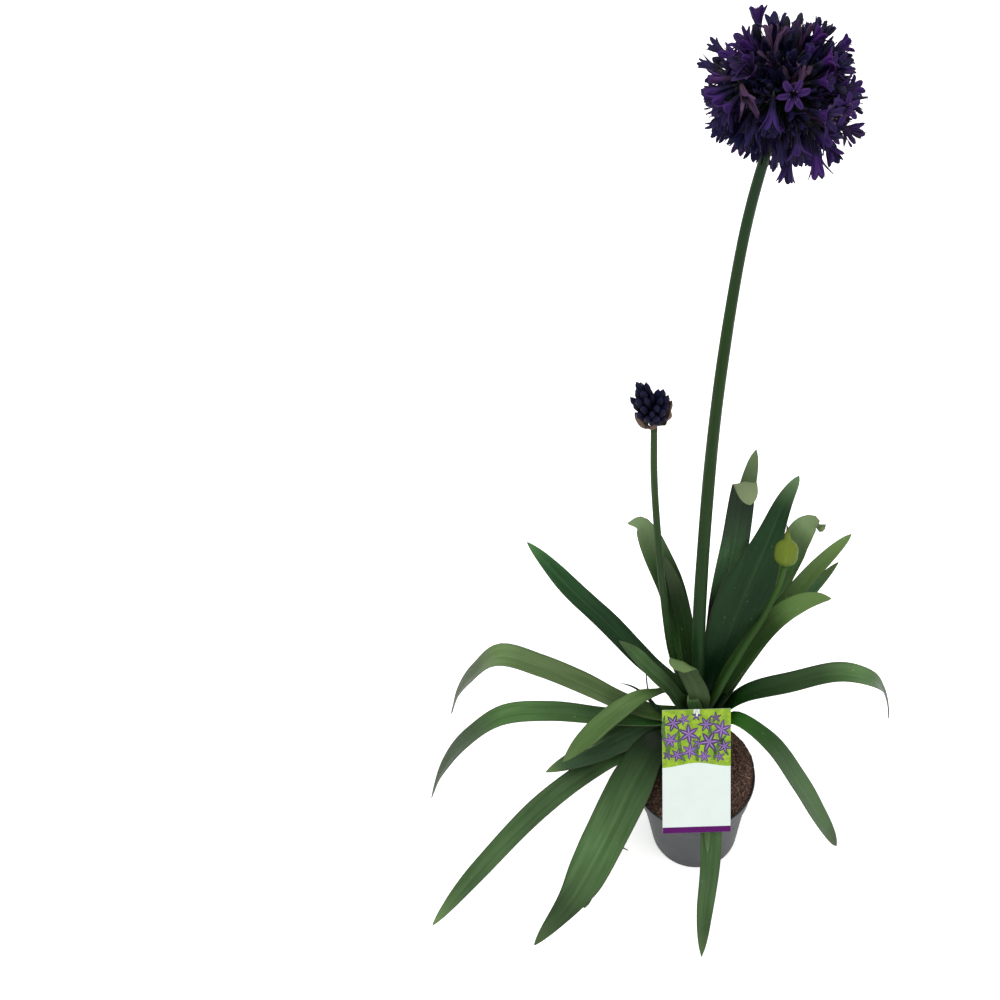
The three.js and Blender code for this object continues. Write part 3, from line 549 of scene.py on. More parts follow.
# Share of the greatest width along a leaf, from foot to tip
risingOutline = [(0, 0.5), (0.15, 0.66), (0.35, 0.96), (0.5, 1)]
outlines = {
    "strap": [*risingOutline, (0.7, 0.98), (0.8, 0.9), (0.88, 0.74), (0.94, 0.52), (0.98, 0.26), (1, 0.05)],
    "blunt": [*risingOutline, (0.75, 0.98), (0.86, 0.88), (0.93, 0.7), (0.975, 0.42), (1, 0.06)],
    "pointed": [(0, 0.32), (0.12, 0.44), (0.24, 0.84), (0.34, 1.04), (0.48, 1.04), (0.62, 1), (0.72, 0.92),
                (0.8, 0.66), (0.88, 0.45), (0.94, 0.3), (0.98, 0.15), (1, 0.03)],
    "easing": [*risingOutline, (0.65, 0.9), (0.78, 0.82), (0.88, 0.64), (0.95, 0.4), (1, 0.04)],
    "belly": [(0, 0.36), (0.15, 0.5), (0.3, 0.7), (0.4, 0.86), (0.55, 1), (0.75, 1), (0.86, 0.9),
              (0.93, 0.7), (0.975, 0.42), (1, 0.06)],
    "lance": [(0, 0.42), (0.15, 0.62), (0.35, 0.9), (0.5, 1), (0.58, 0.97), (0.67, 0.78), (0.74, 0.58),
              (0.82, 0.43), (0.89, 0.34), (0.95, 0.24), (0.985, 0.13), (1, 0.02)],
    "folded": [(0, 0.5), (0.2, 0.74), (0.4, 0.96), (0.6, 1), (0.8, 0.9), (0.9, 0.82), (0.945, 0.78),
               (0.965, 0.7), (0.985, 0.48), (0.995, 0.25), (1, 0.05)],
    "taper": [(0, 0.5), (0.15, 0.7), (0.35, 0.97), (0.45, 1), (0.6, 0.93), (0.75, 0.74), (0.87, 0.5),
              (0.95, 0.27), (1, 0.03)],
    "stalked": [(0, 0.3), (0.25, 0.2), (0.33, 0.32), (0.45, 0.72), (0.58, 1), (0.75, 1), (0.87, 0.76),
                (0.95, 0.42), (1, 0.04)],
    "curled": [(0, 0.5), (0.2, 0.75), (0.45, 0.92), (0.6, 0.9), (0.72, 0.9), (0.8, 1), (0.88, 1.05),
               (0.92, 0.94), (0.945, 0.74), (0.965, 0.52), (0.985, 0.36), (1, 0.14)],
    "hooked": [(0, 0.5), (0.2, 0.75), (0.45, 1), (0.75, 1.02), (0.84, 1.05), (0.9, 0.98), (0.94, 0.74),
               (0.97, 0.4), (1, 0.05)],
    "tapering": [*risingOutline, (0.7, 0.98), (0.8, 0.88), (0.88, 0.68), (0.94, 0.46), (0.98, 0.22),
                 (1, 0.05)],
    "trailing": [*risingOutline, (0.66, 0.98), (0.76, 0.84), (0.83, 0.62), (0.88, 0.4), (0.92, 0.27),
                 (0.96, 0.2), (0.99, 0.13), (1, 0.05)],
    "sheathed": [(0, 0.85), (0.3, 1), (0.6, 1), (0.75, 0.92), (0.86, 0.72), (0.94, 0.42), (1, 0.04)],
    "young": [(0, 0.6), (0.3, 0.8), (0.55, 0.9), (0.75, 0.98), (0.86, 1.12), (0.93, 1.12), (0.97, 0.86),
              (1, 0.4)],
}

# route: the points the midrib runs through, mm. width: the greatest. cup: depth of the channel as a share
# of the width. facing: heading of the blade from foot to tip, degrees, where it differs from its route's.
# tone: a row of leafTones. The factors on the colour from foot to tip are painted light and shade: above 1 a
# painted highlight, below 1 painted shade.
leaves = {
    "back_folded": {"tone": "folded", "outline": "folded", "width": 28.5, "cup": 0.1, "stations": 110,
        "facing": [(0, 85), (1, 92)],
        "paintedLightAndShade": [(0, 0.15), (0.3, 0.15), (0.39, 0.29), (0.49, 2.63), (0.61, 2.63), (0.69, 1.23),
                 (0.78, 0.7), (0.82, 0.58), (1, 0.58)],
        "route": [(5.2, 57.4, 186.6), (13.1, 67.4, 205.5), (20, 89.7, 234), (28.7, 108.9, 292.2),
                 (38.7, 123.5, 360.8), (44.6, 132.5, 413.9), (47.1, 136.4, 440.7), (48.3, 136.3, 450.8),
                 (50.3, 127.4, 449.4), (53.2, 114.8, 442.1)]},
    "back_pointed": {"tone": "curling", "outline": "blunt", "width": 19, "cup": 0.12,
        "route": [(12.2, 59.8, 189.6), (19.8, 80.3, 208), (26.7, 103.3, 233.6), (35.1, 130.3, 337.4),
                 (49.5, 148.1, 410.7), (59.3, 163.3, 467.1)]},
    "back_broad": {"tone": "deep", "outline": "lance", "width": 54, "cup": 0.09,
        "facing": [(0, 99), (1, 85)],
        "paintedLightAndShade": [(0, 1.8), (0.21, 1.79), (0.34, 1.29), (0.45, 1.07), (0.57, 0.84), (0.69, 0.9),
                 (0.79, 1.02), (0.89, 0.81), (0.98, 1.34), (1, 1.35)],
        "route": [(13, 50, 170), (19.7, 63.3, 210.7), (33.5, 76.5, 272.4), (48, 92.8, 318.1),
                 (61.9, 108.5, 354.2), (74.5, 125.2, 384.3), (87.9, 145.1, 412.8), (101.8, 163.4, 429.1)]},
    "back_curled": {"tone": "bending", "outline": "curled", "width": 27, "cup": 0.1,
        "facing": [(0, 75), (0.8, 70), (0.92, 52), (1, 42)],
        "paintedLightAndShade": [(0, 1.25), (0.76, 1.25), (0.82, 0.95), (0.86, 0.88), (0.91, 1.24), (1, 0.6)],
        "route": [(13, 52, 162), (32, 75.8, 197.8), (61.2, 110.2, 239), (84.8, 131.4, 290.9),
                 (99.8, 149.6, 321.9), (105.9, 158.3, 337.5), (113.6, 164.8, 348.3), (121.6, 168.4, 351.2),
                 (127.6, 166.9, 350.1), (128.4, 160.3, 346.9)]},
    "right_high": {"tone": "tipped", "outline": "blunt", "width": 18.5, "cup": 0.14,
        "paintedLightAndShade": [(0, 1.15), (0.77, 1.15), (0.82, 1.03), (0.87, 1.04), (0.93, 1.2), (1, 1.2)],
        "route": [(14, 43, 168), (27.5, 44.9, 218.5), (76.3, 77.7, 298.9), (117.8, 125.1, 319.9),
                 (159, 161.3, 341.9)]},
    "right_mid": {"tone": "bluish", "width": 17, "cup": 0.12,
        "paintedLightAndShade": [(0, 1.4), (0.78, 1.4), (0.84, 1.86), (0.88, 1.96), (0.94, 1.17), (0.98, 0.9), (1, 0.88)],
        "route": [(14.9, 40.4, 147.5), (30.4, 50.8, 205.4), (77.1, 93.9, 269), (119, 126, 290),
                 (148, 150, 310)]},
    "right_low": {"tone": "tipped", "outline": "blunt", "width": 23, "cup": 0.1,
        "facing": [(0, 66), (0.6, 55), (1, 35)],
        "paintedLightAndShade": [(0, 1.05), (0.42, 1.05), (0.58, 0.82), (0.69, 0.68), (0.79, 1.39), (0.84, 1.35),
                 (0.91, 1.17), (0.97, 1.1), (1, 1.1)],
        "route": [(14, 40, 175), (27, 42.6, 220.3), (47.8, 56.4, 263.9), (68.3, 70.2, 294.6),
                 (89.3, 79.2, 317), (107.5, 84.2, 328.3), (123.3, 88.3, 329.8), (135.4, 91, 326.4)]},
    "right_arch": {"tone": "leaning", "outline": "trailing", "width": 24.5, "cup": 0.14,
        "paintedLightAndShade": [(0, 1), (0.27, 1), (0.34, 0.8), (0.42, 0.75), (0.48, 0.85), (0.56, 0.88), (0.62, 1.49),
                 (0.69, 2.06), (0.76, 1.53), (0.81, 1.27), (0.88, 0.8), (0.96, 0.5), (1, 0.5)],
        "route": [(14, 37.8, 153.8), (33, 38.6, 197.8), (54, 37.4, 230.1), (97, 38.4, 250.8),
                 (145, 41, 267.3), (178, 44, 252), (193.8, 51.3, 219.9), (199.6, 48.1, 201.1),
                 (202.4, 43.3, 181.5)]},
    "right_hanging": {"tone": "hanging", "outline": "belly", "width": 27, "cup": 0.12,
        "paintedLightAndShade": [(0, 1.48), (0.28, 1.48), (0.33, 1.04), (0.4, 0.86), (0.51, 0.89), (0.64, 1.15),
                 (0.75, 1.23), (0.89, 1.15), (0.97, 0.56), (1, 0.56)],
        "route": [(10.9, 34.2, 136.7), (27, 32.5, 169.5), (43, 26.3, 200), (78, 12.3, 177.8),
                 (108.2, -2.4, 125.4), (133.7, -15.4, 73.5), (156.6, -27.1, 26.5)]},
    "front_hanging": {"tone": "middle", "outline": "easing", "width": 22, "cup": 0.06,
        "paintedLightAndShade": [(0, 1), (0.53, 1), (0.75, 1.03), (0.88, 0.79), (1, 0.78)],
        "route": [(8, 36, 140), (12, 14, 152), (16, -30, 156), (18, -56, 143), (18, -68, 131.5),
                 (17, -90, 109), (11.5, -123, 62), (7.8, -160, 25)]},
    "front_short": {"tone": "middle", "width": 9, "cup": 0.12,
        "route": [(6, 36, 160), (8, 14, 168), (12, -28, 162.5), (14, -56, 147.8), (14, -68, 135.8),
                 (14, -80, 124), (14, -86, 117.3)]},
    "front_left_broad": {"tone": "middle", "outline": "pointed", "width": 48, "cup": 0.08,
        "paintedLightAndShade": [(0, 0.3), (0.19, 0.3), (0.28, 0.8), (0.43, 1), (0.6, 1.45), (0.72, 1.2), (0.84, 0.6),
                 (0.97, 0.66), (1, 0.66)],
        "route": [(3, 34, 166), (-16, 17.4, 181.9), (-37.8, 2.9, 186.2), (-63.7, -26.3, 154.3),
                 (-95.6, -72.2, 104), (-130, -119.4, 62.8), (-169.5, -161.9, 38.7)]},
    "front_left_under": {"tone": "middle", "outline": "blunt", "width": 24, "cup": 0.1,
        "route": [(0, 36, 130), (-24.4, 12.3, 141.5), (-63.2, -22.9, 130.7), (-102, -72.7, 79.3),
                 (-118.1, -118.7, 40.8)]},
    "left_low": {"tone": "middle", "width": 27, "cup": 0.12,
        "paintedLightAndShade": [(0, 1.8), (0.19, 1.8), (0.29, 1.56), (0.35, 0.73), (0.45, 0.96), (0.57, 0.88),
                 (0.69, 1.23), (0.82, 1), (0.92, 1.18), (0.99, 1.51), (1, 1.51)],
        "route": [(-2, 40, 138), (-20, 28.2, 162.8), (-41, 16.4, 168.6), (-101, -2.9, 147.6),
                 (-166, -39.9, 112.6), (-234, -90.1, 59.8), (-287.2, -136.8, 17.9)]},
    "left_short": {"tone": "bluish", "outline": "taper", "width": 37, "cup": 0.08,
        "route": [(-2, 42, 148), (-18.1, 36.4, 174.2), (-39.2, 29.5, 182.2), (-68, 20.2, 173.8),
                 (-100.5, 9, 159.3), (-131, -0.7, 149.4), (-159.4, -10.5, 141.3)]},
    "left_twisted": {"tone": "lively", "outline": "stalked", "width": 24, "cup": 0.08,
        "facing": [(0, 170), (0.3, 175), (0.6, 205), (1, 222)],
        "route": [(-2, 45, 174), (-10, 45, 198.8), (-27.2, 47.2, 219.6), (-40.7, 41.5, 224.1),
                 (-56, 32.5, 229), (-74.4, 18.3, 227.4), (-93.2, 7.6, 216.4), (-115.9, -5.2, 198.1),
                 (-137.6, -18.3, 178.1)]},
    "left_arch_low": {"tone": "arching", "width": 26, "cup": 0.14,
        "paintedLightAndShade": [(0, 3.04), (0.15, 3), (0.29, 0.97), (0.37, 1.15), (0.44, 1.6), (0.52, 1.63), (0.56, 1.18),
                 (0.62, 0.78), (0.73, 0.64), (0.85, 0.5), (1, 0.5)],
        "route": [(-2, 44, 160), (-18, 36, 184), (-41, 25.5, 193.2), (-99, 22.1, 203.9),
                 (-152, 24.5, 206.7), (-201, 23.4, 199.5), (-245, 19.3, 156.7), (-282, 19.2, 91.5),
                 (-308.2, 15.9, 22.5)]},
    "left_arch_high": {"tone": "light", "width": 29, "cup": 0.14,
        "paintedLightAndShade": [(0, 1.5), (0.14, 1.5), (0.24, 0.59), (0.31, 0.64), (0.4, 0.59), (0.48, 0.69),
                 (0.55, 0.75), (0.61, 1.07), (0.7, 0.51), (0.76, 0.4), (0.87, 0.36), (1, 0.36)],
        "route": [(-2, 46, 168), (-20, 34.6, 190.5), (-41, 29.6, 200), (-78, 36, 212.1), (-119, 45.2, 232),
                 (-162, 56, 246.2), (-204, 63.4, 253.7), (-236, 63.4, 218.3), (-263, 70.5, 163.1),
                 (-276, 69.7, 125.4)]},
    "left_raised": {"tone": "shade", "outline": "tapering", "width": 26, "cup": 0.12,
        "paintedLightAndShade": [(0, 0.7), (0.36, 0.7), (0.47, 0.8), (0.58, 0.85), (0.68, 1.09), (0.81, 1.35),
                 (0.92, 1.87), (0.97, 2.31), (1, 2.31)],
        "route": [(-2, 46, 190), (-12, 45.2, 214.1), (-23.9, 49.2, 231), (-46.4, 61.1, 244.6),
                 (-88, 90, 274.7), (-130.8, 120.2, 301.1), (-174.2, 150.3, 339.8)]},
    "left_raised_short": {"tone": "middle", "outline": "sheathed", "width": 22, "cup": 0.14,
        "paintedLightAndShade": [(0, 0.77), (0.2, 0.77), (0.24, 0.81), (0.41, 0.62), (0.6, 1.1), (0.79, 1.21),
                 (0.95, 0.69), (1, 0.68)],
        "route": [(-5.2, 42.3, 199), (-14.6, 30.2, 221), (-26.8, 38.1, 238.5), (-44.5, 44.5, 259.2),
                 (-59.2, 52.4, 275.5), (-76.4, 61.2, 289.4)]},
    "back_left_curled": {"tone": "curling", "outline": "hooked", "width": 28, "cup": 0.1,
        "facing": [(0, 105), (0.7, 112), (0.9, 145), (1, 165)],
        "paintedLightAndShade": [(0, 3.96), (0.29, 3.93), (0.43, 1.77), (0.59, 0.78), (0.7, 0.75), (0.79, 0.97),
                 (0.88, 0.97), (0.95, 1.21), (1, 1.21)],
        "route": [(1.5, 57.5, 182), (-8.3, 74.6, 227.4), (-14.9, 89.8, 284.1), (-25.9, 107.3, 329.6),
                 (-40, 121.6, 362.4), (-49, 133, 378), (-54, 138.3, 384.5), (-66.5, 138, 386.2)]},
    "young_curled": {"tone": "young", "outline": "young", "width": 26, "cup": 0.08, "stations": 90,
        "facing": [(0, 90), (0.5, 80), (0.8, 62), (1, 60)],
        "route": [(3, 35.5, 195), (5, 30.5, 218), (5.1, 28.7, 243), (1, 31.8, 259.8), (-5, 34.8, 274.3),
                 (-8.7, 37.9, 285.7), (-11.6, 34.8, 290.9), (-14.9, 26.2, 288.9)]},
}

# Small shoots and older strips between the leaves
sprigs = {
    "driedStrand": {"tone": "shade", "outline": "blunt", "width": 3.2, "cup": 0.05,
        "paintedLightAndShade": [(0, 0.8), (1, 0.8)],
        "route": [(2, 40, 196), (-23.1, 32.3, 196.9), (-34.6, 30.3, 202.8), (-43.4, 34.6, 212.2),
                 (-48.1, 44.8, 223.3), (-49.8, 54.2, 231.8), (-50.2, 65.7, 239.1)]},
    "thinShoot": {"tone": "shade", "outline": "taper", "width": 4.6, "cup": 0.1,
        "paintedLightAndShade": [(0, 0.9), (1, 1.1)],
        "route": [(2, 40, 193), (-21.1, 33.3, 193.4), (-34.7, 33.1, 201.2), (-46.1, 39.3, 211.5),
                 (-55.6, 45.2, 218.5), (-65.1, 49.3, 222.5), (-77.2, 52, 224.6)]},
    "lowStrip": {"tone": "curling", "outline": "blunt", "width": 8, "cup": 0.12,
        "paintedLightAndShade": [(0, 0.7), (0.6, 1), (0.85, 1.4), (0.95, 3), (1, 5)],
        "route": [(0, 40, 184), (-31.7, 33.1, 191.3), (-42.5, 25.6, 193.6), (-54.7, 23.8, 194.4),
                 (-69.6, 21.6, 190.2), (-85.7, 15.7, 182.9), (-100.8, 10.3, 174.6), (-122.6, 3.2, 164.7)]},
    "baseShoot": {"tone": "curling", "outline": "sheathed", "width": 15, "cup": 0.1,
        "facing": [(0, 90), (1, 85)],
        "paintedLightAndShade": [(0, 1), (0.5, 1.4), (1, 1.8)],
        "route": [(3, 31, 186), (5.2, 24.1, 201.7), (2.1, 25.6, 216.9), (-1, 28.9, 231),
                 (-4.6, 31.5, 242)]},
    "innerBlade": {"tone": "curling", "width": 17, "cup": 0.12,
        "paintedLightAndShade": [(0, 0.8), (0.55, 0.85), (0.75, 0.5), (1, 0.35)],
        "route": [(1, 52, 186), (-3.1, 62.5, 232.3), (-9.2, 80.6, 286.5), (-18.2, 100.5, 325.2),
                 (-30.1, 120.8, 355.3)]},
    "darkStub": {"tone": "shade", "outline": "sheathed", "width": 10, "cup": 0.1,
        "paintedLightAndShade": [(0, 0.5), (1, 0.35)],
        "route": [(16, 42, 190), (28.9, 36.2, 220.7), (38.1, 41.7, 231.6), (45, 46.7, 244),
                 (49, 49, 249.1)]},
    "darkTip": {"tone": "shade", "width": 8, "cup": 0.12,
        "paintedLightAndShade": [(0, 0.6), (1, 0.8)],
        "route": [(2, 33, 158), (-20.1, 7.7, 160.4), (-50.8, -22.1, 140.8), (-69, -46.2, 118.2),
                 (-79.4, -60.4, 101.4), (-78.3, -69.3, 93.5), (-70.3, -73.4, 89.7)]},
}


def leafShare(leaf, t):
    # The outline's corners are rounded by averaging over a short stretch
    at, share = np.array(outlines[leaf.get("outline", "strap")]).T
    reach = np.minimum(0.03, (1 - t) / 2)
    return sum(np.interp(t + reach * k, at, share) for k in (-1, -0.5, 0, 0.5, 1)) / 5


def leafHeading(leaf, t):
    if "facing" in leaf:
        return np.radians(np.interp(t, *np.array(leaf["facing"], float).T))
    foot, far = route(leaf["route"], [0, 0.75])[0]
    return math.atan2(*(far - foot)[1::-1])


def leavingStation(spots):
    # The first station clear of the bundle, and how far each is from the bundle's middle
    away = np.linalg.norm((spots - bundleMiddle(spots[:, 2]))[:, :2], axis=1)
    free = (away > bundleRadius(spots[:, 2]) + bundle["clear"]) | (spots[:, 2] > bundle["freeFrom"])
    return int(np.argmax(free)), away


def leafRise(leaf, t, a, share, phase):
    # How far each point stands above the midrib: the channel, and slow waves towards the margins
    s = leafShape
    deepFoot = 1 + s["footCup"] * smooth(t, 0.3, 0.0)
    slow, quick = s["waves"]
    wave = s["wave"] * (np.sin(slow * t + phase[0]) + 0.6 * np.sin(quick * t + phase[1]))[:, None]
    wave = wave * np.where(a > 0, 1, -0.8) * np.abs(a) ** 2 * (smooth(t, 0.1, 0.4) * share)[:, None]
    return (leaf["width"] * leaf["cup"] * deepFoot * share)[:, None] * np.abs(a) ** s["crease"] + wave


def leafPiece(name, leaf, rank, number):
    s = leafShape
    phase = np.random.default_rng(40 + number).uniform(0, 6.3, 4)
    n = leaf.get("stations", s["stations"])
    x = np.linspace(0, 1, n)
    t = x + 0.35 * x * (1 - x) * x  # closer stations towards the tip
    spots, tangents, length = route(leaf["route"], t)
    side, up = crossWays(tangents, leafHeading(leaf, t))
    column = np.linspace(-1, 1, s["columns"] + 1)
    a = np.sign(column) * np.abs(column) ** s["crowd"]
    share = leafShare(leaf, t)
    half = leaf["width"] * share / 2
    rim = 1 + s["rim"] * np.sin(s["rimWaves"] * t + phase[2])[:, None] * np.sign(a)
    rows = bladeRows(spots, side, up, half[:, None] * a * rim, leafRise(leaf, t, a, share, phase))

    first, away = leavingStation(spots)
    start = min(first + 1, n - 12)
    if spots[start][2] < bundle["freeFrom"] - 2 and away[start] > 4:
        rows, t, half = withSheath(rows, t, half, spots, start, rank, a)
    thick = blend(s["edgeThick"], s["midThick"], (1 - np.abs(a)) ** s["thickFall"])[None]
    thick = thick * blend(1.0, s["tipThick"], t)[:, None]
    along = np.clip(t, 0, 1)[:, None]
    place = gridOf(a[None], along, 0.0)
    grain = gridOf(half[:, None] * a, (t * length)[:, None], 37.0 * number)
    # Painted highlight and painted shade along the leaf: a factor on its colour from foot to tip
    paintedLightAndShade = np.interp(place[..., 1], *np.array(leaf.get("paintedLightAndShade", [(0, 1), (1, 1)]), float).T)
    bunch = Bunch()
    sheet(bunch, rows, thick, place, grain, tint=np.tile(paintedLightAndShade.ravel(), 2))
    stands = ["leaf_" + name] if name in leaves else []
    return makePiece("leafBlade_" + name, bunch, leafFinishes[leaf["tone"]], stands)


def withSheath(rows, t, half, spots, start, rank, a):
    # The foot of the leaf becomes a sheath round the bundle, and a bend joins the two
    b = bundle
    foot = b["sheathFoot"]
    out = (spots[start] - bundleMiddle(spots[start][2]))[:2]
    topZ = max(spots[start][2] - b["bendRoom"], foot + b["leastSheath"])
    heights = np.linspace(foot, topZ, b["sheathRows"])
    radius = bundleRadius(heights) + b["outerLayer"] - b["layers"] * rank
    narrow = min(half[start] * 1.15 / radius[-1], 1.3)
    wrap = blend(b["wrap"], narrow, smooth(heights, foot - 10, topZ) ** 1.4)
    angle = math.atan2(out[1], out[0]) + wrap[:, None] * a
    sheath = bundleMiddle(heights)[:, None] + roundRow(radius[:, None], angle, 0.0)
    reach = np.linalg.norm(rows[start] - sheath[-1], axis=1).mean()
    u = np.linspace(0, 1, b["bendRows"] + 2)[1:-1, None, None]
    bend = easeBetween(sheath[-1], unit(sheath[-1] - sheath[-2]) * reach,
                       rows[start], unit(rows[start + 1] - rows[start]) * reach, u)
    extra = len(sheath) + len(bend)
    newT = np.concatenate([np.linspace(-0.25, t[start], extra, endpoint=False), t[start:]])
    bendHalf = np.linspace(half[start] * 1.1, half[start], len(bend))
    newHalf = np.concatenate([radius * wrap, bendHalf, half[start:]])
    return np.concatenate([sheath, bend, rows[start:]]), newT, newHalf


def leaveHeight(leaf):
    spots = route(leaf["route"], np.linspace(0, 1, leafShape["stations"]))[0]
    return spots[leavingStation(spots)[0]][2]


order = sorted(leaves, key=lambda key: leaveHeight(leaves[key]))
for number, (name, leaf) in enumerate(leaves.items()):
    leafPiece(name, leaf, order.index(name) / len(order), number)
for number, (name, leaf) in enumerate(sprigs.items()):
    leafPiece(name, leaf, 0.5, 60 + number)
print("Leaves are made:", len(leaves))


crownShape = {
    "foot": 85, "top": 216, "rows": 60, "sides": 96, "inside": 1.6,
    "roots": 6, "rootStart": (5, 32, 98), "rootRing": 10, "rootBend": 78, "rootReach": 34, "rootEnd": 34,
    "rootStep": 9, "rootRadii": [2.2, 1.9, 1.3],
}


def crownPiece():
    # The core that the sheaths wrap, ribbed where older leaf bases lie in it, with thick roots below
    s = crownShape
    bunch = Bunch()
    heights = np.linspace(s["foot"], s["top"], s["rows"])
    angle = turns(s["sides"])
    rows = []
    for z in heights:
        layers = 0.55 * np.abs(np.sin(4.5 * angle + z * 0.012)) + 0.25 * np.sin(11 * angle - z * 0.02)
        radius = np.maximum(bundleRadius(z) - s["inside"], 0.3) * (0.95 + 0.045 * layers)
        rows.append(bundleMiddle(z) * vec(1, 1, 0) + roundRow(radius, angle, z))
    closedRows(bunch, np.stack(rows), alongShares=(heights - s["foot"]) / (s["top"] - s["foot"]))
    for i in range(s["roots"]):
        turn = 2 * math.pi * (i + 0.3) / s["roots"]
        way = vec(math.cos(turn), math.sin(turn), 0)
        start = vec(*s["rootStart"]) + s["rootRing"] * way
        end = s["rootReach"] * way + vec(0, 0, s["rootEnd"] + s["rootStep"] * (i % 3))
        bend = (start + end) / 2 * vec(1, 1, 0) + vec(0, 0, s["rootBend"])
        tube(bunch, [start, bend, end], s["rootRadii"], steps=10, sides=8, number=i)
    return makePiece("crownBundle", bunch, sheathFinish(), ["crown"])


crownPiece()


# Scapes

scapes = {
    "scape_in_bloom": {"foot": 7.5, "top": 4.4, "flat": 0.96, "finish": "bloomStem",
        "route": [(5, 44, 180), (4, 48, 205), (4.5, 62, 292.1), (6.4, 76.9, 357.1), (15.4, 119.9, 503.1),
                  (25.2, 149.9, 598.1), (39.2, 184.9, 690.1), (47.9, 198, 733), (56.9, 206, 770),
                  (69, 220, 816)]},
    "scape_opening": {"foot": 4.2, "top": 3.2, "flat": 0.96, "finish": "thinStem",
        "route": [(-4, 47.8, 180), (-10.4, 57, 208), (-23, 66, 264), (-30.5, 74, 360.1),
                  (-34.8, 83.9, 455.1), (-36.1, 92, 511), (-35, 100, 567)]},
    "scape_closed_bud": {"foot": 4.4, "top": 2.7, "flat": 0.9, "finish": "budStem",
        "route": [(9, 40, 195), (17.6, 35.1, 216), (33.6, 44.4, 255.5), (52.2, 59.9, 289.5),
                  (65.6, 70.3, 311.7), (75.7, 78.2, 335), (83.3, 86.4, 354.4), (87.8, 93.9, 375.6)]},
}
stemColours = {  # foot, middle, top, how reddish
    "bloomStem": ((0.003, 0.028, 0.002), (0.0115, 0.036, 0.005), (0.013, 0.037, 0.014), 0.08),
    "thinStem": ((0.006, 0.03, 0.003), (0.01, 0.036, 0.003), (0.023, 0.052, 0.01), 0.08),
    "budStem": ((0.012, 0.04, 0.004), (0.02, 0.055, 0.009), (0.032, 0.075, 0.012), 0.05),
    "floretStalk": ((0.008, 0.03, 0.005), (0.005, 0.012, 0.006), (0.004, 0.004, 0.008), 0.1),
    "openingStalk": ((0.06, 0.11, 0.04), (0.03, 0.05, 0.025), (0.01, 0.01, 0.015), 0.1),
}
stemFinishes = {key: stemFinish(key, *values) for key, values in stemColours.items()}
scapeShape = {"rows": 70, "sides": 28, "ribs": 7, "ribHeight": 0.018, "swell": 0.012}
head = {"centre": vec(69, 220, 816), "up": unit(vec(13, 15, 48)), "receptacle": 5.6}


def scapePiece(name, scape):
    s = scapeShape
    bunch = Bunch()
    shares = np.linspace(0, 1, s["rows"])
    spots, tangents = route(scape["route"], shares)[:2]
    radius = blend(scape["foot"], scape["top"], shares) * (1 + s["swell"] * np.sin(31 * shares))
    rows = ringsAlong(spots, tangents, radius, s["sides"], scape["flat"])
    ribs = 1 + s["ribHeight"] * np.sin(turns(s["sides"]) * s["ribs"])
    closedRows(bunch, spots[:, None] + (rows - spots[:, None]) * ribs[None, :, None])
    if name == "scape_in_bloom":
        ball = ballRows(head["receptacle"], 0, 14, 20)
        closedRows(bunch, ball + head["centre"], alongShares=np.ones(14))
    return makePiece(name.replace("scape", "stalk"), bunch, stemFinishes[scape["finish"]], [name])


for name, scape in scapes.items():
    scapePiece(name, scape)
print("Scapes are made")


# Florets: a fused tube of six tepals that part and spread, with stamens, on a curved stalk

tepalShape = {
    "rows": 13, "columns": 4, "fused": 0.4, "thick": 0.35, "edgeThick": 0.55, "foot": 1.3, "overlap": 1.04,
    "widest": 0.68, "taper": 0.33, "outer": 1.08, "inner": 0.9,  # outer and inner lobes alternate
    "crease": 0.3, "ruffle": 0.25, "crumple": 1.2, "layer": 0.18,
}
floretKinds = {  # spread: angle from the axis at the tip, degrees. width: half of a lobe, mm.
    "star": {"spread": 94, "length": 26, "width": 2.6, "stamens": 6},
    "open": {"spread": 72, "length": 29, "width": 3.2, "stamens": 6},
    "half": {"spread": 42, "length": 29, "width": 3.2, "stamens": 4},
    "trumpet": {"spread": 22, "length": 29, "width": 3.0, "stamens": 3},
    "faded": {"spread": 13, "length": 26, "width": 2.1, "stamens": 3},
}


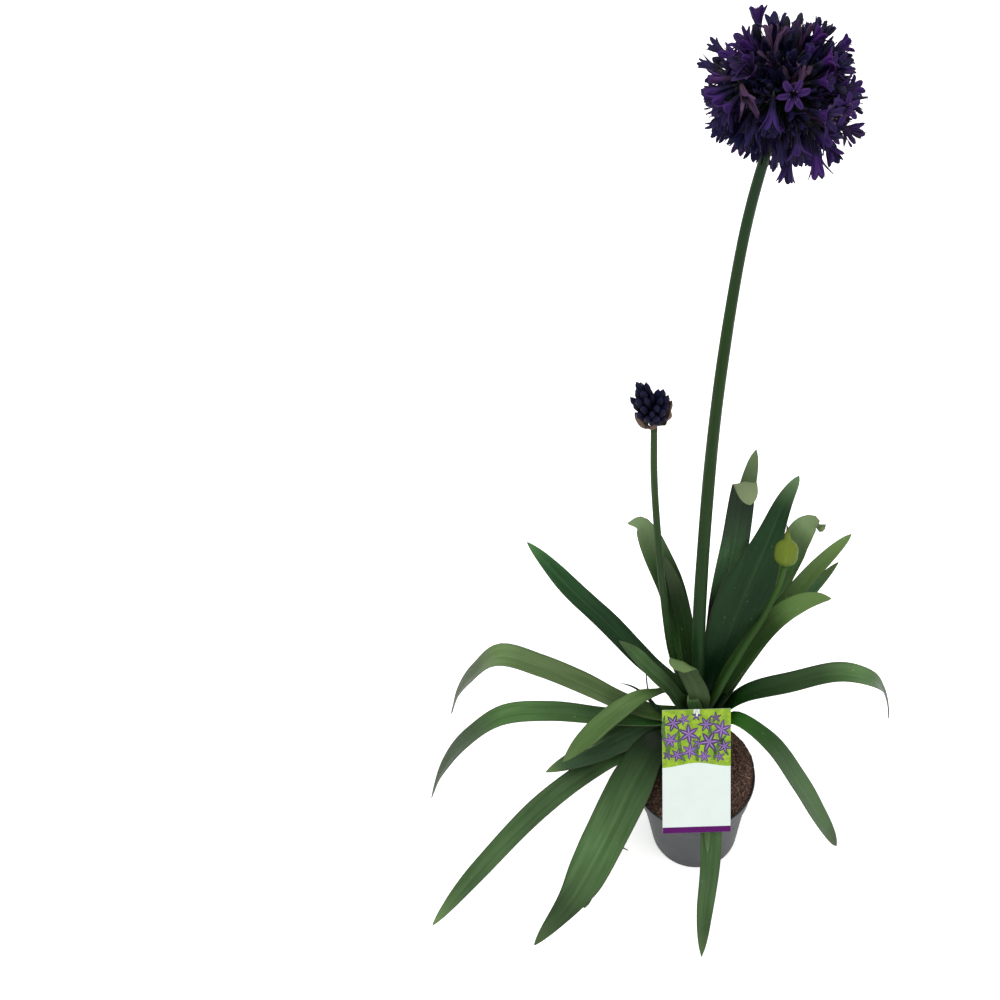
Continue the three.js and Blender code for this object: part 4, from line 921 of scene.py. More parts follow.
def tepalRows(kind, dice, number):
    s = tepalShape
    n = s["rows"]
    t = np.linspace(0, 1, n)
    a = np.linspace(-1, 1, s["columns"] + 1)
    isOuter = number % 2 == 1
    loose = dice.normal(0, 1, 6)
    spread = kind["spread"] + (7 + 9 * kind["age"]) * loose[0]
    lean = np.radians(blend(8, spread, smooth(t, s["fused"] * 0.8, 0.9)))
    step = kind["length"] / (n - 1)
    radius = s["foot"] + np.concatenate([[0], np.cumsum(np.sin(lean[1:]) * step)])
    height = np.concatenate([[0], np.cumsum(np.cos(lean[1:]) * step)])
    loosened = smooth(t, s["fused"] * 0.85, s["fused"] + 0.22)
    widest = kind["width"] * s["outer" if isOuter else "inner"] * (1 - 0.35 * kind["age"])
    lobe = widest * np.sqrt(np.clip(1 - np.abs((t - s["widest"]) / s["taper"]) ** 2.8, 0.003, 1))
    half = blend(np.tan(np.pi / 6) * radius * s["overlap"], lobe, loosened)
    arc = roundRow(radius[:, None], a[None] * np.pi / 6 * s["overlap"], height[:, None])
    inward = np.stack([-np.cos(lean), np.zeros(n), np.sin(lean)], -1)  # towards the throat's side
    crease = s["crease"] * (np.abs(a) ** 1.3) * half[:, None]
    ruffle = s["ruffle"] * np.sin(11 * t[:, None] + 3 * a + loose[2] * 3) * np.abs(a) * loosened[:, None]
    crumple = kind["age"] * s["crumple"] * np.sin(9 * t[:, None] + loose[3] * 4) * a * loosened[:, None]
    sway = (0.06 + 0.1 * kind["age"]) * loose[4] * (t * 10) ** 1.4 * loosened
    middle = np.stack([radius, sway, height], -1)
    sideways = np.broadcast_to(vec(0, 1, 0), (n, 3))
    lobeRows = bladeRows(middle, sideways, inward, half[:, None] * a, crease + ruffle + crumple)
    rows = blend(arc, lobeRows, loosened[:, None, None])
    rows[..., 0] += s["layer"] if isOuter else -s["layer"]
    turn = number * np.pi / 3 + 0.05 * loose[5]
    c, z = math.cos(turn), math.sin(turn)
    return rows @ np.array([[c, z, 0], [-z, c, 0], [0, 0, 1]])


def addStamen(threads, kind, turned, foot, turn, dice):
    reach = (0.7 + 0.2 * dice.random()) * kind["length"]
    out = 0.8 + 2.4 * min(kind["spread"], 60) / 60
    way = vec(math.cos(turn), math.sin(turn), 0)
    line = [0.5 * way + vec(0, 0, 0.25 * kind["length"]), 0.6 * out * way + vec(0, 0, 0.6 * reach),
            1.25 * out * way + vec(0, dice.uniform(-0.8, 0.8), reach)]
    line = np.array(line) @ turned + foot
    tube(threads, line, [0.24, 0.2, 0.16], steps=5, sides=4, age=0.2 + 0.3 * kind["age"])
    end = line[-1]
    tube(threads, [end, end + 0.6 * unit(vec(*dice.normal(0, 1, 3))), end + 1.3 * turned[2]],
         [0.2, 0.42, 0.2], steps=3, sides=5, age=1.0 if kind["showy"] else 0.6)


def addFloret(petals, threads, item, foot, dice, number):
    s = tepalShape
    kind = dict(floretKinds[item["kind"]], age=item["age"], length=item["long"],
                showy=item["kind"] in ("star", "open"))
    turned = aimed(item["face"], dice.uniform(0, 6.3))
    t = np.linspace(0, 1, s["rows"])
    a = np.linspace(-1, 1, s["columns"] + 1)
    thick = s["thick"] * blend(1.0, s["edgeThick"], np.abs(a))[None] * np.ones((s["rows"], 1))
    place = gridOf(-a[None], t[:, None], 0.0)
    for i in range(6):
        rows = tepalRows(kind, dice, i)[:, ::-1]
        grain = gridOf(kind["width"] * a[None], kind["length"] * t[:, None], 11.0 * number + 3.0 * i)
        sheet(petals, rows @ turned + foot, thick, place, grain, kind["age"], item["tint"])
    for i in range(kind["stamens"]):
        turn = (i + 0.5) * 2 * math.pi / kind["stamens"] + dice.uniform(-0.3, 0.3)
        addStamen(threads, kind, turned, foot, turn, dice)


budShape = {
    "profile": [(0.34, 0), (0.42, 0.12), (0.55, 0.28), (0.8, 0.48), (0.98, 0.66), (1.0, 0.76),
                (0.86, 0.87), (0.52, 0.955), (0.16, 1.0)],
    "narrowing": [0, 0, 0, 0, 0, 0, 0.12, 0.2, 0],  # what a pointed bud loses of its radius
    "sides": 18, "grooves": 6, "groove": 0.09, "bend": 0.05,
}


def addBud(buds, foot, direction, length, radius, dice, number=0, age=0.0, pointed=0.0):
    # A club-shaped bud with shallow grooves and a blunt point
    s = budShape
    groove = 1 + s["groove"] * np.cos(s["grooves"] * turns(s["sides"]))
    rows = np.stack([roundRow(radius * (r - pointed * less) * groove, turns(s["sides"]), length * z)
                     for (r, z), less in zip(s["profile"], s["narrowing"])])
    bend = s["bend"] * dice.normal() * (rows[..., 2] / length) ** 2 * length
    rows[..., 0] += bend
    closedRows(buds, rows @ aimed(direction, dice.uniform(0, 6.3)) + foot, number=7.0 * number, age=age)


umbelShape = {
    "count": 260, "stalkRadius": 0.8, "fromTop": 4, "toTop": 152, "apart": 8.5, "reach": (42, 63),
    "droopFrom": 62, "droopShare": 0.62, "hollows": [(-0.08, -0.32, 0.94)], "hollowSpan": 11,
    "turnStep": 2.399963, "budRadius": 2.5,
    # degrees from the top, and up to which draw each kind of floret comes there
    "kinds": ((42, ((0.45, "bud"), (0.62, "faded"), (0.8, "trumpet"), (1, "half"))),
              (88, ((0.14, "open"), (0.44, "half"), (0.7, "trumpet"), (0.84, "bud"), (1, "faded"))),
              (181, ((0.4, "faded"), (0.72, "trumpet"), (0.92, "half"), (1, "open")))),
}

# Florets with a place of their own: kind, where the tube starts (mm from the middle of the head),
# which way it faces, length, tint and age
setFlorets = [
    ("star", (4, -43, 29), (0, -0.93, 0.37), 20, 1, 0),
    ("star", (39, -35, 10), (0.48, -0.81, 0.35), 20, 0.95, 0),
    ("half", (-16, -4, 37), (-0.78, 0, 0.63), 29, 0.75, 0),
    ("half", (-18, -12, 39), (-0.85, -0.43, 0.3), 27, 0.6, 0.1),
    ("trumpet", (-19, 26, 37), (-0.04, 0.63, 0.78), 23, 0.55, 0),
    ("bud", (7, 18, 33), (0.24, 0.7, 0.67), 25, 0, 0.6),
    ("bud", (0, 11, 37), (0.11, 0.82, 0.57), 23, 0, 0.3),
    ("bud", (-5, 4, 39), (0.11, 0.82, 0.56), 22, 0, 0.2),
    ("half", (15, -3, 40), (0.72, 0.29, 0.63), 21, 0.8, 0),
    ("half", (21, -22, 38), (0.93, -0.07, 0.37), 18, 1, 0),
    ("half", (18, -34, 31), (0.91, -0.34, 0.25), 18, 0.7, 0),
    ("half", (36, 5, 32), (0.87, 0.38, 0.31), 17, 0.55, 0),
    ("open", (16, -48, 17), (0.83, -0.55, -0.01), 29, 0.65, 0),
    ("half", (20, -49, 2), (0.69, -0.67, -0.29), 25, 0.4, 0.1),
    ("trumpet", (21, -54, -6), (0.19, -0.63, -0.75), 30, 0.65, 0),
    ("trumpet", (28, -47, -6), (0.46, -0.73, -0.51), 25, 0.5, 0.1),
    ("faded", (41, -30, -5), (0.62, -0.46, -0.64), 23, 0.3, 0.5),
    ("faded", (-34, -29, 30), (0.25, -0.94, -0.25), 31, 0.9, 0.9),
    ("half", (-39, -31, 26), (-0.85, -0.48, -0.24), 25, 0.6, 0),
    ("trumpet", (-41, -29, 28), (-0.98, -0.14, -0.16), 23, 0.45, 0.1),
    ("half", (-36, -40, 26), (-0.65, -0.71, -0.26), 24, 0.5, 0.1),
    ("trumpet", (-40, -26, 33), (-1, -0.03, 0.03), 19, 0.75, 0.35),
    ("faded", (-49, -12, 32), (-0.82, 0.57, 0.07), 19, 0.1, 0.3),
    ("faded", (-43, 8, 32), (-0.71, 0.67, 0.2), 20, 0.1, 0.3),
    ("faded", (-44, -33, 15), (-0.4, -0.52, -0.76), 21, 0.1, 0.2),
    ("faded", (-39, -30, 11), (-0.31, -0.52, -0.8), 19, 0.1, 0.2),
    ("trumpet", (-10, -46, 27), (-0.09, -0.85, -0.53), 29, 0.35, 0),
    ("faded", (-5, -46, 1), (0.11, -0.65, -0.76), 30, 0.1, 0.4),
    ("trumpet", (4, -50, -15), (-0.1, -0.66, -0.74), 27, 0.3, 0.2),
    ("half", (8, -56, 3), (0.1, -0.68, -0.72), 23, 0.35, 0.2),
    ("trumpet", (16, -48, -5), (0.09, -0.55, -0.83), 24, 0.3, 0.1),
    ("faded", (-21, -39, 11), (-0.19, -0.62, -0.76), 30, 0.1, 0.4),
    ("faded", (-25, -29, 7), (-0.31, -0.41, -0.86), 23, 0.1, 0.4),
    ("faded", (-11, -7, 47), (-0.35, 0.21, 0.91), 16, 0.8, 0.8),
    ("faded", (-7, -7, 49), (0.39, 0.33, 0.86), 14, 0.8, 0.9),
    ("faded", (9, -41, 35), (0.32, 0.44, 0.84), 14, 0.8, 0.9),
    ("bud", (39, -1, 24), (0.89, 0.46, 0.05), 16, 0, 0.1),
    ("bud", (35, -29, 24), (0.59, -0.79, 0.16), 14, 0, 0.2),
    ("half", (42, -19, 10), (0.86, 0.49, 0.11), 19, 0.6, 0),
    ("trumpet", (43, -28, -14), (0.89, 0.35, -0.28), 20, 0.4, 0.1),
    ("trumpet", (-31, -14, 39), (-0.82, 0.48, 0.32), 21, 0.55, 0),
    ("trumpet", (15, -19, 39), (0.27, 0.24, 0.93), 14, 0.4, 0),
]


def nearAny(way, others, degrees):
    return any(way @ other > math.cos(math.radians(degrees)) for other in others)


def kindAt(down, roll):
    choices = next(row for limit, row in umbelShape["kinds"] if down < limit)
    return next(name for share, name in choices if roll < share)


def floretPlan(dice):
    s = umbelShape
    headFrame = aimed(head["up"])
    low, high = math.cos(math.radians(s["fromTop"])), math.cos(math.radians(s["toTop"]))
    plan = [{"kind": kind, "foot": vec(*foot), "face": unit(vec(*face)), "long": long, "tint": tint,
             "age": age} for kind, foot, face, long, tint, age in setFlorets]
    taken = [unit(item["foot"] + item["face"] * item["long"] * 0.7) for item in plan]
    hollows = [unit(vec(*way)) for way in s["hollows"]]
    for i in range(s["count"]):
        level = blend(low, high, (i + 0.5) / s["count"])
        turn = i * s["turnStep"] + dice.uniform(-0.12, 0.12)
        flat = math.sqrt(1 - level * level)
        way = unit(roundRow(flat, turn, level) @ headFrame + dice.normal(0, 0.05, 3))
        roll, bright, reach = dice.random(), dice.random(), dice.uniform(*s["reach"])
        loose, drop = dice.normal(0, 0.08, 3), dice.uniform(0.6, 1.2)
        if nearAny(way, taken, s["apart"]) or nearAny(way, hollows, s["hollowSpan"]):
            continue
        down = math.degrees(math.acos(np.clip(way[2], -1, 1)))
        kind = kindAt(down, roll)
        droop = s["droopShare"] * float(smooth(down, s["droopFrom"], 150)) * drop
        face = unit(way * (1 - droop) + vec(0, 0, -1) * droop + loose)
        long = 22 + 6 * bright if kind == "bud" else floretKinds[kind]["length"]
        isFaded = kind == "faded"
        plan.append({"foot": way * (reach - long * 0.9), "face": face, "kind": kind, "long": long,
                     "tint": 0.1 + 0.6 * (bright > 0.8) if isFaded else bright ** 2 * 0.7,
                     "age": 0.4 + 0.5 * bright if isFaded else 0.25 * bright})
    return plan


def umbelPieces():
    s = umbelShape
    dice = np.random.default_rng(7)
    petals, threads, buds, stalks = [Bunch(), Bunch()], Bunch(), Bunch(), Bunch()
    for i, item in enumerate(floretPlan(dice)):
        face = item["face"]
        foot = head["centre"] + item["foot"]
        root = head["centre"] + unit(item["foot"]) * head["receptacle"] * 0.6
        bow = foot - face * 5
        tube(stalks, [root, blend(root, bow, 0.55) + vec(0, 0, 1.2), bow, foot + face * 0.8],
             [0.7, s["stalkRadius"], 0.95, 1.3], steps=10, sides=7, number=3.0 * i)
        if item["kind"] == "bud":
            radius = s["budRadius"] + 0.6 * dice.random()
            addBud(buds, foot, face, item["long"], radius, dice, i, item["age"])
        else:
            addFloret(petals[i % 2], threads, item, foot, dice, i)
    return petals, threads, buds, stalks


petalViolet = petalFinish("violetPetal", {
    "tube": (0.005, 0.005, 0.017), "dull": (0.0115, 0.0125, 0.058), "bright": (0.056, 0.014, 0.125),
    "stripe": (0.011, 0.003, 0.042), "margin": (0.095, 0.034, 0.16), "back": (0.009, 0.0095, 0.035),
    "witheredDark": (0.006, 0.006, 0.01), "witheredPale": (0.085, 0.045, 0.075)})
darkBud = budFinish("darkBud", (0.006, 0.006, 0.012), (0.0045, 0.005, 0.013), (0.008, 0.006, 0.026),
                    0.03, specular=0.07)


def threadFinish():
    made, w, shader = startFinish("stamenThread")
    skin = placeGroup(w, growth, **{"Vein Width": 3.0, "Cloud Size": 0.5})
    age = w.read("age", "Fac")
    colour = w.mix(w.spread(age, 0.2, 0.6), (0.015, 0.008, 0.03), (0.006, 0.005, 0.01))
    colour = w.mix(w.spread(age, 0.8, 1.0), colour, (0.09, 0.055, 0.022))
    colour = w.mix(w.math("MULTIPLY", skin["Clouds"], 0.3), colour, (0.03, 0.02, 0.04))
    endFinish(w, shader, colour, skin["Clouds"], (0.5, 0.7), 0.5, skin["Clouds"], 0.0001, 0.4)
    return made


petals, threads, buds, stalks = umbelPieces()
floretNodes = sorted(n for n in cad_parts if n.startswith("florets_"))
makePiece("umbelPetals", petals[0], petalViolet, floretNodes[::2])
makePiece("umbelPetalsBetween", petals[1], petalViolet, floretNodes[1::2])
makePiece("umbelBuds", buds, darkBud, [])
makePiece("umbelStalks", stalks, stemFinishes["floretStalk"], [])
makePiece("umbelStamens", threads, threadFinish(), [])
print("The flower head is made:", sum(len(b.tint) for b in petals) // 6, "florets")


# The head that is just opening: pointed buds between two papery bracts, and the closed bud

opening = {
    "foot": vec(-35, 100, 567), "collar": 4.6, "budLength": 24, "budRadius": 3.0,
    "tips": [(-12.6, 8, 48), (-6, 6, 47.5), (-15.5, 2, 43), (-18.6, 0, 37), (-9, -3, 46), (-13, -8, 42),
             (-5, -8, 43), (-9, -13, 37), (-16, -6, 34), (-11, 14, 40), (-4, 14, 36), (4.4, 4, 41),
             (9.5, 5, 40), (12.5, 1, 35.5), (7, -4, 39), (12, -6, 32), (4, -11, 37), (9, -12, 31),
             (8, 12, 33), (13, 9, 29), (0, 10, 31), (0, 0, 38), (-1, -15, 32), (-14, -13, 28), (3, -16, 27),
             (-7, -17, 28), (5, -14, 19), (9.5, -10, 20), (-1, -15, 21)],
    # direction round the stalk in degrees, height of the tip, width, reach
    "bracts": [(200, 22, 19, 17), (10, 28, 18, 16.5), (110, 15, 15, 15), (250, 9, 12, 13)],
    "bractWidths": ([0, 0.25, 0.5, 0.75, 0.92, 1], [0.5, 0.9, 1, 0.72, 0.3, 0.05]),
    "bractRows": 22, "bractColumns": 11, "bractThick": 0.45,
}


def addBract(papers, turnDegrees, top, wide, reach):
    o = opening
    turn = math.radians(turnDegrees)
    outward = vec(math.cos(turn), math.sin(turn), 0)
    line = [o["foot"] + outward * r + vec(0, 0, z)
            for r, z in ((4.4, 1), (0.62 * reach, 3.5), (0.92 * reach, 11), (reach, top))]
    t = np.linspace(0, 1, o["bractRows"])
    spots, tangents, length = route(line, t)
    side, up = crossWays(tangents, turn)
    a = np.linspace(-1, 1, o["bractColumns"])
    half = wide / 2 * np.interp(t, *o["bractWidths"])
    rise = half[:, None] * (0.55 * np.abs(a) ** 1.8 + 0.1 * np.sin(13 * t[:, None] + 5 * a))
    rows = bladeRows(spots, side, up, half[:, None] * a, rise)
    grain = gridOf(half[:, None] * a, (t * length)[:, None], 5.0 * turnDegrees)
    sheet(papers, rows, o["bractThick"], gridOf(a[None], t[:, None], 0.0), grain)


def openingPieces():
    o = opening
    dice = np.random.default_rng(21)
    buds, stalks, papers = Bunch(), Bunch(), Bunch()
    closedRows(stalks, ballRows(o["collar"], 1, 12, 20) + o["foot"], alongShares=np.full(12, 0.2))
    for i, (x, y, z) in enumerate(o["tips"]):
        tip = o["foot"] + vec(x, y, z)
        hub = o["foot"] + vec(x * 0.2, y * 0.2, o["collar"] + 2)
        way = unit(tip - hub)
        long = min(o["budLength"], 0.75 * np.linalg.norm(tip - hub)) * dice.uniform(0.95, 1.05)
        foot = tip - way * long
        tube(stalks, [hub, (hub + foot) / 2, foot + way * 0.5], [0.8, 0.9, 1.1], steps=4, sides=7, number=i)
        addBud(buds, foot, way, long, o["budRadius"] * dice.uniform(0.92, 1.1), dice, i,
               age=0.4 * dice.random(), pointed=1)
    for bract in o["bracts"]:
        addBract(papers, *bract)
    return buds, stalks, papers


navyBud = budFinish("navyBud", (0.005, 0.0062, 0.016), (0.0028, 0.0042, 0.0145), (0.006, 0.005, 0.03),
                    0.015, specular=0.06)
paperBract = budFinish("paperyBract", (0.1, 0.12, 0.045), (0.11, 0.07, 0.045), (0.06, 0.035, 0.03),
                       0.15, 0.6)
navyBuds, navyStalks, papers = openingPieces()
makePiece("openingBuds", navyBuds, navyBud, ["opening_bud_cluster"])
makePiece("openingStalks", navyStalks, stemFinishes["openingStalk"], [])
makePiece("openingBracts", papers, paperBract, ["opening_bract_left", "opening_bract_right"])

closedBud = {
    "foot": vec(87.8, 94, 376), "way": vec(3, 14, 40), "radius": 11.4, "flat": 0.85, "tall": 45,
    "rows": 48, "sides": 64,
    "keels": [(4.55, 0.13, 0.13), (1.5, 0.09, 0.18)],  # angle, height as a share of the radius, width
    "heights": [0, 1, 3, 6, 10, 14, 18, 21.5, 24.5, 26.5, 28, 30, 34, 39, 45],
    "shares": [0.28, 0.46, 0.7, 0.9, 1.0, 1.0, 0.99, 0.93, 0.78, 0.58, 0.38, 0.27, 0.2, 0.14, 0.04],
    "beakFrom": 24, "beakCurve": 0.006,
}


def closedBudPiece():
    c = closedBud
    bunch = Bunch()
    angle = turns(c["sides"])
    heights = np.linspace(0, c["tall"], c["rows"])
    rows = []
    for z in heights:
        r = c["radius"] * float(np.interp(z, c["heights"], c["shares"]))
        keel = 1 + 0.012 * np.sin(9 * angle + z * 0.1)
        for turn, high, wide in c["keels"]:
            keel = keel + high * float(smooth(z, 2, 12)) * np.exp(-(np.abs(angle - turn) / wide) ** 2)
        rows.append(roundRow(r * keel, angle, z) * vec(1, c["flat"], 1))
    rows = np.stack(rows)
    rows[..., 0] += c["beakCurve"] * np.maximum(rows[..., 2] - c["beakFrom"], 0) ** 2
    closedRows(bunch, rows @ aimed(c["way"]) + c["foot"], alongShares=heights / c["tall"])
    skin = budFinish("closedBudSkin", (0.05, 0.105, 0.007), (0.115, 0.16, 0.012), (0.045, 0.03, 0.02),
                     0.05, 0.42, 0.12)
    return makePiece("closedBudSpathe", bunch, skin, ["closed_bud"])


closedBudPiece()
print("The buds are made")


# Pot and soil

potShape = {
    # radius and height, from the middle of the underside over the rim to the middle of the inner floor
    "profile": [(0.3, 1.2), (30, 1.2), (44.5, 1.2), (45.6, 0.4), (46.4, 0), (47.2, 0.25), (47.9, 1),
                (48.2, 2.2), (53, 50), (57.8, 96.8), (58.2, 97.5), (59.6, 98), (60.4, 98.5), (60.7, 99.6),
                (63.9, 124.3), (64.2, 124.9), (64.85, 125.2), (65, 125.8), (65, 127.2), (64.7, 127.8),
                (64.1, 128), (63.6, 127.8), (63.3, 127.2), (59.2, 98.4), (56.5, 96), (51.6, 50),
                (46.7, 2.4), (46.2, 2), (0.3, 2)],
    "sides": 144, "rowEvery": 6, "outOfRound": 0.25, "drains": 6, "drainRadius": 4.5, "drainRing": 34,
}


def finerRows(rows, every):
    # Adds rows so that none is much further than this from the next
    fine = []
    for a, b in zip(rows[:-1], rows[1:]):
        count = max(1, int(np.linalg.norm(b[0] - a[0]) / every))
        fine += [blend(a, b, k / count) for k in range(count)]
    return np.stack(fine + [rows[-1]])


def cutDrains(pot):
    p = potShape
    cutters = Bunch()
    ring = turnedRows([(p["drainRadius"], -3), (p["drainRadius"], 6)], 24)
    for turn in turns(p["drains"]):
        closedRows(cutters, ring + roundRow(p["drainRing"], turn, 0))
    cutter = bpy.data.objects.new("drainCutters", cutters.mesh("drainCutters"))
    bpy.context.scene.collection.objects.link(cutter)
    cut = pot.modifiers.new("drains", "BOOLEAN")
    cut.object = cutter
    cut.operation = "DIFFERENCE"
    bpy.context.view_layer.objects.active = pot
    bpy.ops.object.modifier_apply(modifier=cut.name)
    bpy.data.objects.remove(cutter)


def potPiece():
    p = potShape
    bunch = Bunch()
    rows = finerRows(turnedRows(p["profile"], p["sides"]), p["rowEvery"])
    bulge = p["outOfRound"] * np.sin(2 * turns(p["sides"]) + 0.7) * smooth(rows[:, :1, 2], 10, 125)
    rows[..., :2] *= (1 + bulge / np.maximum(np.linalg.norm(rows[..., :2], axis=2), 20))[..., None]
    closedRows(bunch, rows)
    plastic = plainFinish("potPlastic", (0.0175, 0.019, 0.0225), (0.025, 0.0275, 0.0325), (0.42, 0.6),
                          0.0002, 25, 1600, 0.22)
    pot = makePiece("nurseryPot", bunch, plastic, ["pot"])
    cutDrains(pot)
    edges = pot.modifiers.new("crispEdges", "WEIGHTED_NORMAL")
    edges.keep_sharp = True
    return pot


potPiece()

soilShape = {
    "edgeRadius": 61.2, "edgeHeight": 121, "crownHeight": 124, "tilt": 0.05, "rough": 1.9,
    "heap": 10.5, "heapAngle": 0.72, "heapWide": 0.78, "overRim": 4.6,
    "profile": [(0.5, 2.4), (46, 2.4), (57, 96), (59, 98.8), (61.4, 119.5)], "sides": 150, "rings": 44,
    "fibres": 3600, "fibreLength": (3, 11), "fibreRadius": (0.16, 0.42),
    "fibreShares": [0.6, 1, 1, 0.9, 0.4],  # of the radius, from end to end
    "crumbs": 3000, "crumbSize": (0.6, 2.1),
}


def soilTop(x, y):
    s = soilShape
    r = np.hypot(x, y) / s["edgeRadius"]
    level = blend(s["crownHeight"], s["edgeHeight"], np.clip((r - 0.4) / 0.6, 0, 1))
    return level + s["tilt"] * y + s["heap"] * heapShare(x, y) * (1 - 0.25 * smooth(r, 0.88, 1.04))


def heapShare(x, y):
    # 1 where the soil is heaped over the rim, 0 elsewhere
    s = soilShape
    r = np.hypot(x, y) / s["edgeRadius"]
    return np.exp(-((np.arctan2(y, x) - s["heapAngle"]) / s["heapWide"]) ** 4) * smooth(r, 0.55, 0.92)


def lumpy(x, y, dice, size, count=22):
    # A sum of slanted waves, smooth and without repeats at this scale
    total = 0
    for _ in range(count):
        turn, wave, phase = dice.uniform(0, 6.3), dice.uniform(0.7, 1.6) / size, dice.uniform(0, 6.3)
        total = total + np.sin((x * math.cos(turn) + y * math.sin(turn)) * wave * 6.3 + phase)
    return total / math.sqrt(count)


def addSoilBody(bunch, dice):
    s = soilShape
    body = turnedRows(s["profile"], s["sides"])
    inwards = 1 - np.arange(s["rings"]) / s["rings"]
    top = turnedRows([(s["edgeRadius"] * share + 0.4, 0) for share in inwards], s["sides"])
    x, y = top[..., :1], top[..., 1:2]
    top[..., :2] *= 1 + s["overRim"] / s["edgeRadius"] * heapShare(x, y) * smooth(np.hypot(x, y), 57, 61)
    x, y = top[..., 0], top[..., 1]
    lumps = 0.5 * lumpy(x, y, dice, 9) + 0.4 * lumpy(x, y, dice, 3)
    top[..., 2] = soilTop(x, y) + s["rough"] * lumps
    closedRows(bunch, np.concatenate([body, top]), age=0.12)


def addFibre(bunch, dice, number):
    s = soilShape
    r, turn = s["edgeRadius"] * math.sqrt(dice.uniform(0.03, 1.0)), dice.uniform(0, 6.3)
    x, y = r * math.cos(turn), r * math.sin(turn)
    z = soilTop(x, y) + dice.uniform(-0.6, 1.4)
    long = dice.uniform(*s["fibreLength"])
    lean = dice.normal(0, 0.22)
    heading = dice.uniform(0, 6.3)
    way = vec(math.cos(heading) * math.cos(lean), math.sin(heading) * math.cos(lean), math.sin(lean))
    bow = dice.normal(0, 0.2) * long
    middle = vec(x, y, z)
    bent = vec(x, y, z + abs(bow) * 0.4) + vec(-way[1], way[0], 0) * bow
    a, b, c = (insidePot(p) for p in (middle - way * long / 2, bent, middle + way * long / 2))
    u = np.linspace(0, 1, len(s["fibreShares"]))[:, None]
    curve = a * (1 - u)**2 + 2 * b * u * (1 - u) + c * u**2
    radii = dice.uniform(*s["fibreRadius"]) * np.array(s["fibreShares"])
    rows = ringsAlong(curve, unit(np.gradient(curve, axis=0)), radii, 3)
    closedRows(bunch, rows, age=dice.random() ** 1.2, number=number)


# An eight-sided crumb: its six corners and the corners of its faces
crumbCorners = np.array([(1, 0, 0), (-1, 0, 0), (0, 1, 0), (0, -1, 0), (0, 0, 1), (0, 0, -1)], float)
crumbFaces = np.array([(0, 2, 4), (2, 1, 4), (1, 3, 4), (3, 0, 4),
                       (2, 0, 5), (1, 2, 5), (3, 1, 5), (0, 3, 5)])


def addCrumb(bunch, dice, number):
    s = soilShape
    r, turn = s["edgeRadius"] * math.sqrt(dice.uniform(0.02, 1.0)) * 0.98, dice.uniform(0, 6.3)
    r *= 1 + 0.06 * float(heapShare(r * math.cos(turn), r * math.sin(turn)))
    x, y = r * math.cos(turn), r * math.sin(turn)
    size = dice.uniform(*s["crumbSize"]) * vec(1, 1, 0.7)
    spot = vec(x, y, soilTop(x, y) + dice.uniform(-0.2, 1.0))
    shape = crumbCorners * dice.uniform(0.65, 1.2, (6, 1)) * size
    points = shape @ aimed(dice.normal(0, 1, 3)) + spot
    bunch.add(points, [crumbFaces], np.zeros((6, 3)), shape + 9 * number, 0.6 * dice.random())


def insidePot(p):
    s = soilShape
    r = math.hypot(p[0], p[1])
    most = s["edgeRadius"] + 0.6 + s["overRim"] * float(heapShare(p[0], p[1]))
    return vec(p[0] * most / r, p[1] * most / r, p[2]) if r > most else p


def soilPiece():
    dice = np.random.default_rng(3)
    bunch = Bunch()
    addSoilBody(bunch, dice)
    for k in range(soilShape["fibres"]):
        addFibre(bunch, dice, k)
    for k in range(soilShape["crumbs"]):
        addCrumb(bunch, dice, k)
    finish = soilFinish("coirSoil", (0.055, 0.031, 0.025), (0.215, 0.125, 0.095), (0.5, 0.34, 0.25))
    return makePiece("coirSoil", bunch, finish, ["soil"])


soilPiece()
print("Pot and soil are made")


# Label and hook

card = {
    "width": 71, "length": 132, "thick": 0.8, "lean": 42, "yaw": 10.5, "turn": 0.04,
    "foot": (2.56, -72.6, 136.5), "holeRadius": 2.6, "holeDrop": 6.5, "pictureFrom": 73, "wave": 2.2,
    "band": 6.4, "ink": 0.05, "petalWidth": 0.2, "bladeBow": 2.5,
}
cardPlace = (Matrix.Translation(card["foot"]) @ Matrix.Rotation(math.radians(90 - card["lean"]), 4, "X")
             @ Matrix.Rotation(math.radians(card["yaw"]), 4, "Y")
             @ Matrix.Rotation(math.radians(card["turn"]), 4, "Z"))

# The printed picture, card millimetres. Rosettes: x, y, reach, petals, first angle, tone
rosettes = [(-24, 118, 10, 6, 10, 0.1), (-8, 106, 12, 6, 35, 0.45), (10, 116, 9, 6, 0, 0.2),
            (26, 110, 11.5, 6, 20, 0.6), (-27, 100, 9, 6, 50, 0.7), (13, 97, 12.5, 6, 5, 0.25),
            (-7, 88, 9.5, 6, 25, 0.8), (29, 92, 8.5, 6, 40, 0.1), (-20, 84, 8, 6, 15, 0.35),
            (8, 82, 7.5, 6, 60, 0.65), (-30, 84, 6, 5, 0, 0), (24, 81, 6.5, 5, 30, 0.3),
            (0, 125, 6, 5, 12, 0), (-13, 122, 7, 5, 40, 0.7), (20, 123, 6.5, 5, 22, 0),
            (1, 96, 6.5, 5, 0, 0.05)]
printedBlades = [  # from x, y to x, y, and half the width
    (-33, 80, -16, 112, 2.2), (-12, 77, -18, 108, 2.0), (1, 77, 4, 104, 2.4), (18, 78, 31, 104, 2.2),
    (-31, 92, -33, 126, 2.0), (20, 84, 14, 124, 2.2), (33, 82, 22, 118, 1.8),
]


def onCard(points):
    turned = np.array(cardPlace.to_3x3())
    return np.asarray(points, float) @ turned.T + vec(*card["foot"])


